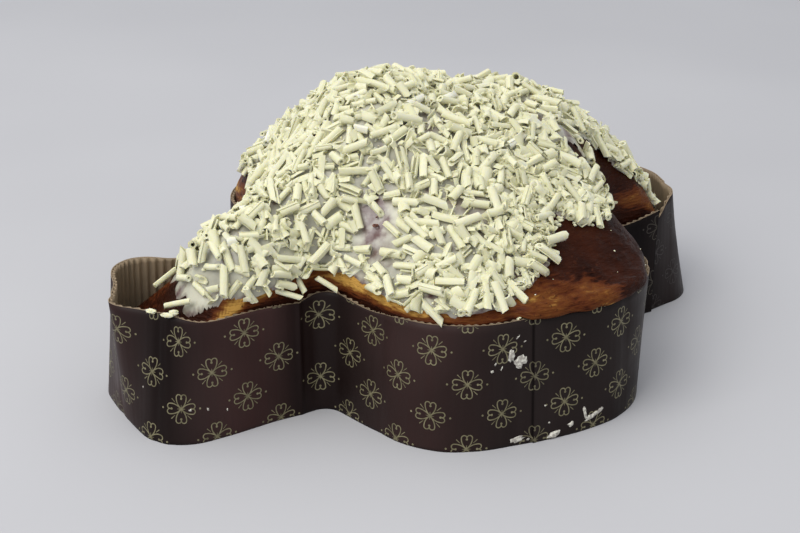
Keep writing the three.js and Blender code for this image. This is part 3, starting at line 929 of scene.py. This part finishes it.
# Places where it ran thin, and the crust shows through: x, y, how thin, reach
THIN = [
    (-48, -39, 1.0, 5),
    (-53, -51, 0.6, 6),
    (-16, -62, 0.6, 8),
    (-12, -91, 0.9, 6),
    (-2, -82, 0.9, 7),
    (50, -31, 0.9, 7),
    (31, -25, 0.8, 5),
    (-11, -21, 0.6, 6),
    (-90, -14, 0.7, 6),
    (-108, -8, 0.5, 6),
    (95, -28, 0.7, 8),
    (-57, 60, 0.8, 9),
    (20, 60, 0.7, 10),
    (100, 20, 0.7, 8),
]
rim_plan = on_wall(guide_stations, WALL_HEIGHT)
drips = DRIPS[0] * smooth_noise(guide_stations / 7, 0.0, 5.0)
drips = drips + DRIPS[1] * smooth_noise(guide_stations / 2.6, 0.0, 6.0)
edge_off = 1 + EDGE_OFF + drips + nearby(BARE, rim_plan[:, 0], rim_plan[:, 1])
icing_edge = on_wall(guide_stations, WALL_HEIGHT, edge_off)[:, :2]

dough_normals = np.empty(len(dough.data.vertices) * 3)
dough.data.vertices.foreach_get("normal", dough_normals)
top_normals = dough_normals.reshape(-1, 3)[2 * side_count :]
within = signed_distance(top_plan, icing_edge) / np.clip(top_normals[:, 2], 0.15, 1)
ragged = within + RAGGED * smooth_noise(top[:, 0] / 4.5, top[:, 1] / 4.5 + top[:, 2] / 4.5, 9.0)
ragged = ragged - nearby(HOLES, top[:, 0], top[:, 1])
pooled = 0.5 + 0.5 * smooth_noise(top[:, 0] / 11, top[:, 1] / 11 + top[:, 2] / 14, 10.0)
ran_off = smooth_noise(top[:, 0] / 7, top[:, 1] / 7 + top[:, 2] / 9, 16.0)
worn_through = np.clip(nearby(THIN, top[:, 0], top[:, 1]) + np.clip(ran_off - 0.4, 0, 1) * 1.6, 0, 1)
spread = np.clip(ragged / EDGE_ROUND, 0, 1)
full = THINNEST + (ICING - THINNEST) * np.clip(pooled, 0, 1) * (1 - 0.8 * worn_through)
thickness = spread * (2 - spread) * full
lift = np.where(ragged > 0, thickness, np.maximum(ragged, -1) * 0.5) - SUNK_EDGE
icing_points = top + top_normals * lift[:, None]
top_faces = [
    tuple(i - 2 * side_count for i in face)
    for face in dough_faces[:-1]
    if min(face) >= 2 * side_count
]
shown = ragged > -RUN_UNDER
kept_faces = [face for face in top_faces if all(shown[i] for i in face)]
used = sorted({i for face in kept_faces for i in face})
renumbered = {old: new for new, old in enumerate(used)}
icing_faces = [tuple(renumbered[i] for i in face) for face in kept_faces]
icing = make_mesh("icing_glaze", icing_points[used], icing_faces)

film = np.clip(worn_through + np.clip(1 - spread, 0, 1) * 0.7, 0, 1)
mark(icing, "thin", film[used])

sugar_icing, tree, shader = new_material("sugar_icing", (0.5, 0.5, 0.43), 0.3)
shader.inputs["Specular IOR Level"].default_value = 0.5
thin_here = marked(tree, "thin")
wisps = uneven(tree, 210, 4.0, 0.30, 0.72)
milky = mix_colors(tree, uneven(tree, 60, 2.0, 0.4, 0.6), (0.350, 0.338, 0.275), (0.53, 0.515, 0.41))
veiled = mix_colors(tree, wisps, (0.29, 0.25, 0.24), (0.085, 0.028, 0.022))
film_edge = add_node(
    tree, "ShaderNodeMath", set_operation="MULTIPLY_ADD", in_0=wisps, in_1=0.5, in_2=thin_here
)
film_share = add_node(tree, "ShaderNodeMapRange", Value=film_edge.outputs[0], From_Min=0.4, From_Max=1.15)
tree.links.new(mix_colors(tree, film_share.outputs[0], milky, veiled), shader.inputs["Base Color"])
shader.inputs["Subsurface Weight"].default_value = 0.15
shader.inputs["Subsurface Radius"].default_value = (0.003, 0.002, 0.0015)
roughen(tree, shader, wisps, 0.0004, 0.4)
icing.data.materials.append(sugar_icing)
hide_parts("icing")
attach(icing, "root")

# ---------------------------------------------------------------- white chocolate rolls
# Short quills shaved from a block of white chocolate: a thin sheet rolled up on itself about one
# and a quarter times, cut off a little aslant at both ends. They are strewn thickly over the wet
# icing, lie every way round, and where they are thickest they lie across each other.

ROLL_LENGTH = 10.2
ROLL_RADIUS = 2.0
LENGTH_SHARES = (0.6, 1.25)  # least and most
RADIUS_SHARES = (0.75, 1.15)
ROLL_TURNS = (1.1, 1.25, 1.4, 1.2, 0.85)
SHEET = 0.85  # how thick the shaved sheet is
THROWS, ROLLS_A_THROW = 18, 500  # most of the rolls of a throw find no room and are left out
SEED = 7

chance = np.random.default_rng(SEED)

corners = np.array([face[:3] for face in kept_faces])
quads = np.array([(face[0], face[2], face[3]) for face in kept_faces if len(face) == 4])
corners = np.concatenate((corners, quads))
triangle = icing_points[corners]
cross = np.cross(triangle[:, 1] - triangle[:, 0], triangle[:, 2] - triangle[:, 0])
area = np.linalg.norm(cross, axis=1) / 2
middle_of = triangle.mean(1)
well_within = ragged[corners].min(1)

# Places where fewer rolls fell: x, y, share that is missing, reach
CLEARINGS = [
    (-24, -66, 0.7, 9),
    (-46, -60, 0.5, 9),
    (-48, -38, 0.55, 7),
    (-52, -50, 0.5, 8),
    (-50, -45, 1.3, 3.6),
    (-10, -88, 0.4, 6),
    (-126, -20, 0.93, 8),
    (50, -42, 1.2, 5),
    (58, -46, 1.2, 5),
    (-140, -4, 1.5, 11),
    (-128, 10, 1.5, 9),
    (-134, 16, 1.5, 10),
    (-116, 18, 1.5, 8),
    (116, -12, 1.0, 6),
    (-112, -26, 0.4, 8),
    (-12, -22, 0.5, 6),
    (50, -31, 0.6, 8),
    (74, -31, 0.9, 10),
    (31, -25, 0.45, 6),
    (-57, 62, 0.4, 8),
    (60, 60, 0.3, 12),
]
density = np.clip(1 - nearby(CLEARINGS, middle_of[:, 0], middle_of[:, 1]), 0.0, 1)
density = density * np.clip((well_within + 0.3) / 1.5, 0, 1)
# And where more fell
THICKER = [
    (-4, -72, 0.9, 12),
    (18, -55, 0.9, 15),
    (4, -38, 0.7, 13),
    (-26, -84, 0.6, 10),
    (40, -60, 0.5, 10),
]
density = density * (1 + nearby(THICKER, middle_of[:, 0], middle_of[:, 1]))


SLOPE_REACH = 1.5  # on either side of a place, where the crust's height is read for its slope


def strew(count, weight):
    """Places picked over the icing by weight, and the direction upward from the crust's swell."""
    odds = np.cumsum(weight) / weight.sum()
    picked = np.searchsorted(odds, chance.random(count))
    shares = np.sqrt(chance.random(count))
    other = chance.random(count)
    a, b, c = (triangle[picked, k] for k in range(3))
    places = (1 - shares)[:, None] * a + (shares * (1 - other))[:, None] * b + (shares * other)[:, None] * c
    plans = places[None, :, :2] + SLOPE_REACH * np.array([(1, 0), (-1, 0), (0, 1), (0, -1)])[:, None]
    heights = [crust_height(*plan.T, np.maximum(signed_distance(plan, dough_ring), 0)) for plan in plans]
    level_run = np.full(count, 2 * SLOPE_REACH)
    ups = np.stack((heights[1] - heights[0], heights[3] - heights[2], level_run), 1)
    return places, ups / np.linalg.norm(ups, axis=1)[:, None]


def segment_gap(p1, d1, p2, d2):
    """Least distance between one segment and several, each from a middle and a half-length vector."""
    between_middles = p2 - p1
    a = d1 @ d1
    e = (d2 * d2).sum(1)
    f = (d2 * between_middles).sum(1)
    c = between_middles @ d1
    b = d2 @ d1
    bottom = np.maximum(a * e - b * b, 1e-9)
    s = np.clip((c * e - b * f) / bottom, -1, 1)
    t = np.clip((b * s - f) / e, -1, 1)
    s = np.clip((b * t + c) / a, -1, 1)
    gap = between_middles + t[:, None] * d2 - s[:, None] * d1
    return np.linalg.norm(gap, axis=1)


CELL = 14.0  # side of the cubes that the rolls are looked up by
SUNK = 0.74  # of its radius: height of a roll's middle line over the icing
ROUND_END = 0.4  # of its radius: how far short of each end its middle line stops
PRESS = 0.74  # of two rolls' radii together, at least kept between their middle lines
UNEVEN_TILT = 0.045  # how unevenly they lie, in radians
STEPS_UP = 4  # how often a roll is tried higher up
STEP_UP = 0.6
STEP_TILT = 1.3  # how much steeper it leans for each step up
STAY_UP = 0.8  # share of the rolls that stay where they lie on others
cells = {}
rolls = []


def neighbours(middle_point):
    """The rolls that lie close enough to touch one here."""
    cx, cy, cz = (math.floor(v / CELL) for v in middle_point)
    near = []
    for ix in (cx - 1, cx, cx + 1):
        for iy in (cy - 1, cy, cy + 1):
            for iz in (cz - 1, cz, cz + 1):
                near += cells.get((ix, iy, iz), [])
    return [rolls[k] for k in near]


def keep_roll(middle_point, way, up, length, radius):
    """Adds a roll to those that stay."""
    cells.setdefault(tuple(math.floor(v / CELL) for v in middle_point), []).append(len(rolls))
    rolls.append((middle_point, way * (length / 2 - radius * ROUND_END), radius, way, up, length))


def any_way(up):
    """A direction square to up, turned at random."""
    side = np.cross(up, (0.31, 0.87, 0.38))
    side /= np.linalg.norm(side)
    turn = chance.random() * math.tau
    return math.cos(turn) * side + math.sin(turn) * np.cross(up, side)


def lay_roll(place_point, up, length, radius):
    """Lets a roll down on the icing, or on the rolls that already lie there."""
    level = any_way(up)
    near = neighbours(place_point)
    middles, halves, radii = (np.array([other[k] for other in near]) for k in range(3))
    for step in range(STEPS_UP):
        raise_by = step * STEP_UP
        tilt = chance.normal(0, UNEVEN_TILT) + chance.choice((-1, 1)) * STEP_TILT * raise_by / length
        way = math.cos(tilt) * level + math.sin(tilt) * up
        middle_point = place_point + up * (radius * SUNK + raise_by)
        if not near:
            break
        half = way * (length / 2 - radius * ROUND_END)
        room = segment_gap(middle_point, half, middles, halves) - (radii + radius) * PRESS
        if room.min() > 0:
            break
    else:
        return
    if step == 0 or chance.random() < STAY_UP:
        keep_roll(middle_point, way, up, length, radius)


# Rolls that hang over the rim at the notch, and two that lie apart at the tail's tip: where both
# ends are, in x, y and z
SET_APART = [
    ((-93, -36, 60), (-83.8, -41.8, 56.4)),
    ((-81.5, -35, 62), (-81, -40, 57.8)),
    ((-75, -39.5, 62.5), (-69, -45.5, 57.8)),
    ((-79, -33.5, 66.5), (-67.5, -40, 65.5)),
    ((-133.5, -16, 54.5), (-125.5, -24, 58)),
    ((-129.5, 4, 55), (-119, 5, 60)),
]
SET_APART_RADIUS = 1.5
for first_end, last_end in SET_APART:
    first_end, last_end = np.array(first_end), np.array(last_end)
    length = np.linalg.norm(last_end - first_end)
    way = (last_end - first_end) / length
    keep_roll((first_end + last_end) / 2, way, np.array((0, 0, 1.0)), length, SET_APART_RADIUS)

for _ in range(THROWS):
    for place_point, up in zip(*strew(ROLLS_A_THROW, area * density)):
        length = ROLL_LENGTH * chance.uniform(*LENGTH_SHARES)
        lay_roll(place_point, up, length, ROLL_RADIUS * chance.uniform(*RADIUS_SHARES))

INNER_RADIUS = 0.70  # of its radius: where a roll's inner end lies
FLATTEST = 0.84  # of its width: the least height of a roll that was pressed
UNEVEN_BEND, UNEVEN_TAPER = 0.14, 0.05
UNEVEN_CUT, NIBBLES = 0.3, 0.14  # slant and raggedness of its ends
SHEET_RINGS = 3  # of corners, along a rolled sheet


def rolled_sheet(middle_point, way, up, length, radius, turns, sheet=SHEET, around=10):
    """Vertices and faces of one rolled or curved sheet, with this many corners round it."""
    side = np.cross(way, up)
    side /= np.linalg.norm(side)
    third = np.cross(side, way)
    start = chance.random() * math.tau
    angles = start + np.linspace(0, turns * math.tau, around)
    grow = np.linspace(INNER_RADIUS, 1.0, around) if turns > 1 else np.ones(around)
    flatten = chance.uniform(FLATTEST, 1.0)
    bend = chance.normal(0, UNEVEN_BEND)
    taper = chance.normal(0, UNEVEN_TAPER)
    slants = chance.normal(0, UNEVEN_CUT, (2, 2))
    nibbles = chance.normal(0, NIBBLES, (2, around))
    vertices = []
    for k in range(SHEET_RINGS):
        share_along = k / (SHEET_RINGS - 1) * 2 - 1
        end = 0 if k == 0 else 1
        at_end = k in (0, SHEET_RINGS - 1)
        for thick in (0, sheet):
            r = (radius * grow - thick) * (1 + taper * share_along)
            u = r * np.cos(angles)
            v = r * np.sin(angles) * flatten
            cut = slants[end][0] * u + slants[end][1] * v + nibbles[end]
            w = share_along * length / 2 + at_end * cut
            sag = bend * (1 - share_along**2)
            points = middle_point + np.outer(w, way) + np.outer(u + sag, side) + np.outer(v, third)
            vertices.append(points if thick == 0 else points[::-1])
    count = 2 * around
    faces = ring_faces(SHEET_RINGS, count)
    last = (SHEET_RINGS - 1) * count
    for i in range(around - 1):
        a, b = i, i + 1
        c, d = count - 2 - i, count - 1 - i
        faces.append((d, c, b, a))
        faces.append((last + a, last + b, last + c, last + d))
    return np.concatenate(vertices), faces


SHARP_DEGREES = 62  # between two faces, from which their edge is shaded sharp


def join_pieces(name, parts, tones):
    """One mesh from many (vertices, faces), with a tone of its own for each."""
    vertices, faces, shift = [], [], 0
    for some_vertices, some_faces in parts:
        vertices.append(some_vertices)
        faces += [tuple(i + shift for i in face) for face in some_faces]
        shift += len(some_vertices)
    piece = make_mesh(name, np.concatenate(vertices), faces)
    mark(piece, "tone", np.repeat(tones, [len(some_vertices) for some_vertices, _ in parts]))
    piece.data.set_sharp_from_angle(angle=math.radians(SHARP_DEGREES))
    return piece


roll_parts = [
    rolled_sheet(middle_point, way, up, length, radius, chance.choice(ROLL_TURNS))
    for middle_point, _, radius, way, up, length in rolls
]
chocolate_rolls = join_pieces("chocolate_rolls", roll_parts, chance.random(len(roll_parts)))

white_chocolate, tree, shader = new_material("white_chocolate", (0.80, 0.78, 0.55), 0.55)
shader.inputs["Specular IOR Level"].default_value = 0.25
tone_here = marked(tree, "tone")
ivory = mix_colors(tree, tone_here, (0.665, 0.650, 0.415), (0.725, 0.708, 0.495))
palest = add_node(tree, "ShaderNodeMapRange", Value=tone_here, From_Min=0.98, From_Max=0.99)
ivory = mix_colors(tree, palest.outputs[0], ivory, (0.73, 0.72, 0.62))
bloom = uneven(tree, 600, 3.0, 0.35, 0.8)
tree.links.new(mix_colors(tree, bloom, ivory, (0.71, 0.695, 0.53)), shader.inputs["Base Color"])
shader.inputs["Subsurface Weight"].default_value = 0.7
shader.inputs["Subsurface Radius"].default_value = (0.0030, 0.0026, 0.0016)
roughen(tree, shader, bloom, 0.0001, 0.4)
chocolate_rolls.data.materials.append(white_chocolate)
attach(chocolate_rolls, "root")

# ---------------------------------------------------------------- broken rolls
# Among the rolls lie broken ones and flakes: curved shards, part of a roll round, short, turned
# over, and standing askew. They are finest and thickest by the bare crust of the front wing.

SHARD_COUNT = 2800
SHARD_LENGTHS, SHARD_RADII = (2.8, 8.2), (1.5, 2.9)  # least and most, of most of them
FINE_LENGTHS, FINE_RADII = (1.2, 3.2), (0.6, 1.3)  # and of the fine ones
FINE_SHARE = 0.25
SHARD_TURNS = (0.2, 0.6)
SHARD_SHEET = 0.7 * SHEET
SHARD_TILT = 0.4
SHARD_HEIGHTS = (0.3, 2.0)  # over the icing
FLAKY = [  # x, y, how many more, reach
    (-8, -93, 5, 9),
    (6, -80, 4, 9),
    (28, -70, 3, 9),
    (56, -70, 5, 10),
    (84, -42, 5, 10),
    (100, -28, 3, 9),
]
flaky = 1 + nearby(FLAKY, middle_of[:, 0], middle_of[:, 1])
shard_parts = []
for place_point, up in zip(*strew(SHARD_COUNT, area * density * flaky)):
    level = any_way(up)
    tilt = chance.normal(0, SHARD_TILT)
    way = math.cos(tilt) * level + math.sin(tilt) * up
    fine = chance.random() < FINE_SHARE * nearby(FLAKY, *place_point[:2])
    length = chance.uniform(*(FINE_LENGTHS if fine else SHARD_LENGTHS))
    radius = chance.uniform(*(FINE_RADII if fine else SHARD_RADII))
    middle_point = place_point + up * chance.uniform(*SHARD_HEIGHTS)
    turns = chance.uniform(*SHARD_TURNS)
    shard_parts.append(rolled_sheet(middle_point, way, up, length, radius, turns, SHARD_SHEET, 6))
chocolate_shards = join_pieces("chocolate_shards", shard_parts, chance.random(len(shard_parts)))
chocolate_shards.data.materials.append(white_chocolate)
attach(chocolate_shards, "root")

# ---------------------------------------------------------------- crumbs and lumps
# Crumbs of white chocolate lie between the rolls and on the bare crust beside them. Three lumps of
# icing sit on the rim by the tail's tip, and three dark bits of crust are caught in the icing.

CRUMB_COUNT = 2000
CRUMB_SIZES = (0.3, 0.95)
KNOBS = 0.2


def lump(middle_point, half_sizes, turn, around=7, rows=4):
    """Vertices and faces of one knobbly bit."""
    vertices = [(0, 0, -1)]
    for k in range(1, rows):
        angle = math.pi * k / rows
        for i in range(around):
            turn_here = math.tau * i / around
            out = (1 + KNOBS * chance.normal()) * math.sin(angle)
            vertices.append((out * math.cos(turn_here), out * math.sin(turn_here), -math.cos(angle)))
    vertices.append((0, 0, 1))
    points = np.array(vertices) * half_sizes
    points[:, :2] = turned(points[:, :2], turn)
    faces = [tuple(1 + i for i in face) for face in ring_faces(rows - 1, around)]
    faces += [(0, 1 + (i + 1) % around, 1 + i) for i in range(around)]
    top_ring = 1 + (rows - 2) * around
    faces += [(len(vertices) - 1, top_ring + i, top_ring + (i + 1) % around) for i in range(around)]
    return points + middle_point, faces


def on_crust(x, y, above=0.0):
    """A point on the crust's swell, or above it."""
    plan = np.array([(x, y)], float)
    height = crust_height(plan[:, 0], plan[:, 1], signed_distance(plan, dough_ring))[0]
    return np.array((x, y, height + above))


crumb_parts = []
for place_point, up in zip(*strew(CRUMB_COUNT, area * density * (0.6 + flaky))):
    size = chance.uniform(*CRUMB_SIZES)
    half_sizes = size * chance.uniform(0.6, 1.3, 3)
    turn = chance.random() * math.tau
    crumb_parts.append(lump(place_point + up * 0.4 * size, half_sizes, turn, 6, 3))

# On the bare crust: x, y, size
STRAY_CRUMBS = [
    (31, -75, 1.2),
    (33, -77, 0.8),
    (38, -76, 1.3),
    (42, -89, 1.0),
    (20, -75, 2.0),
    (24, -73, 1.7),
    (17, -77, 1.5),
    (-6, -99, 0.7),
    (-1, -103, 0.5),
    (-18, -103, 1.3),
    (-24, -99, 1.1),
    (14, -88, 0.5),
    (50, -98, 0.6),
    (58, -90, 0.5),
    (60, -84, 0.6),
    (36, -98, 0.4),
    (5, -95, 0.4),
    (47, -80, 0.5),
]
for x, y, size in STRAY_CRUMBS:
    for _ in range(4 if size > 1 else 1):
        shifted = (x + chance.normal(0, 0.5 * size), y + chance.normal(0, 0.5 * size))
        half_sizes = size * chance.uniform(0.45, 0.8, 3) * (1, 1, 0.7)
        turn = chance.random() * math.tau
        crumb_parts.append(lump(on_crust(*shifted, 0.2 * size), half_sizes, turn, 7, 4))
crumb_tones = 0.4 + 0.6 * chance.random(len(crumb_parts))
chocolate_crumbs = join_pieces("chocolate_crumbs", crumb_parts, crumb_tones)
chocolate_crumbs.data.materials.append(white_chocolate)
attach(chocolate_crumbs, "root")

RIM_LUMPS = [  # x, y, z, half-sizes, turned by degrees
    (-141.6, -21.6, 56.6, (2.2, 1.2, 1.0), -52),
    (-137.4, -28.2, 56.4, (2.6, 1.2, 1.0), -48),
    (-135.0, -28.6, 57.0, (2.0, 1.3, 1.3), -20),
]
lump_parts = [
    lump((x, y, z), half_sizes, math.radians(degrees), 14, 8)
    for x, y, z, half_sizes, degrees in RIM_LUMPS
]
icing_lumps = join_pieces("icing_lumps", lump_parts, np.full(len(lump_parts), 0.8))
icing_lumps.data.materials.append(white_chocolate)
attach(icing_lumps, "root")

# The dark bits: a tiny ring and a speck beside it, and a flat chip further up
RING_BIT, SPECK, CHIP = (-50, -45, 2.1), (-48.4, -43.4, 2.1), (-14, -60, 1.8)  # x, y, over the crust
RING_RADIUS, RING_THICK = 1.05, 0.36
RING_SIDES, RING_CORNERS = 12, 6
out = RING_RADIUS + RING_THICK * np.cos(math.tau * np.arange(RING_CORNERS) / RING_CORNERS)[:, None]
high = RING_THICK * np.sin(math.tau * np.arange(RING_CORNERS) / RING_CORNERS)[:, None]
round_ring = math.tau * np.arange(RING_SIDES) / RING_SIDES
tiny_ring = np.stack((out * np.cos(round_ring), out * np.sin(round_ring), high + 0 * round_ring), -1)
bit_parts = [
    (tiny_ring.reshape(-1, 3) + on_crust(*RING_BIT), ring_faces(RING_CORNERS, RING_SIDES, closed=True)),
    lump(on_crust(*SPECK), (0.8, 0.4, 0.35), 0.6),
    lump(on_crust(*CHIP), (1.5, 0.6, 0.5), 0.4),
]
crust_bits = join_pieces("crust_bits", bit_parts, np.zeros(len(bit_parts)))

dark_crumb, tree, shader = new_material("dark_crumb", (0.13, 0.035, 0.02), 0.5)
charred = uneven(tree, 900, 3.0)
bit_tones = mix_colors(tree, charred, (0.07, 0.02, 0.012), (0.18, 0.06, 0.03))
tree.links.new(bit_tones, shader.inputs["Base Color"])
crust_bits.data.materials.append(dark_crumb)
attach(crust_bits, "root")

# ---------------------------------------------------------------- floor, light and camera
# The mould stands on a plain pale sheet that runs to the back of the picture. The light is soft:
# the room's from all round, a wide lamp on the left, and a weaker one overhead.

FLOOR_HALF = 6  # metres, as are the places of the lights and the camera
CAMERA_AT = (-0.3405, -0.5414, 0.3163)
CAMERA_TOWARD = (0.5202, 0.8540)  # in plan
CAMERA_DOWN = 23.677  # degrees
LENS = 67.5

floor_mesh = bpy.data.meshes.new("floor")
floor_corners = [(x * FLOOR_HALF, y * FLOOR_HALF, 0) for x, y in ((-1, -1), (1, -1), (1, 1), (-1, 1))]
floor_mesh.from_pydata(floor_corners, [], [(0, 1, 2, 3)])
floor = bpy.data.objects.new("floor", floor_mesh)
bpy.context.scene.collection.objects.link(floor)
floor_paper, tree, shader = new_material("floor_paper", (0.55, 0.55, 0.56), 0.9)
floor_tones = mix_colors(tree, uneven(tree, 3, 2.0), (0.452, 0.450, 0.465), (0.480, 0.478, 0.492))
tree.links.new(floor_tones, shader.inputs["Base Color"])
floor_mesh.materials.append(floor_paper)


def add_light(name, place_m, target_m, size, power, color):
    """A square soft light that shines from a place to a target."""
    lamp = bpy.data.lights.new(name, "AREA")
    lamp.shape = "SQUARE"
    lamp.size = size
    lamp.energy = power
    lamp.color = color
    light = bpy.data.objects.new(name, lamp)
    light.location = place_m
    light.rotation_euler = (Vector(target_m) - Vector(place_m)).to_track_quat("-Z", "Y").to_euler()
    bpy.context.scene.collection.objects.link(light)


add_light("key", (-1.1, -0.3, 1.35), (0, 0, 0.05), 1.2, 18.5, (1.0, 0.985, 0.955))
add_light("top", (-0.4, 0.4, 1.9), (0, 0, 0), 1.6, 8.5, (0.98, 0.985, 1.0))
world = bpy.data.worlds.new("studio")
world.use_nodes = True
room_light = world.node_tree.nodes["Background"]
room_light.inputs["Color"].default_value = (0.86, 0.88, 0.92, 1)
room_light.inputs["Strength"].default_value = 0.81
bpy.context.scene.world = world
bpy.context.scene.view_settings.view_transform = "Standard"

camera_data = bpy.data.cameras.new("camera")
camera_data.lens = LENS
camera_data.sensor_width = 36
camera = bpy.data.objects.new("camera", camera_data)
camera.location = CAMERA_AT
camera.rotation_euler = (math.radians(90 - CAMERA_DOWN), 0, -math.atan2(*CAMERA_TOWARD))
bpy.context.scene.collection.objects.link(camera)
bpy.context.scene.camera = camera
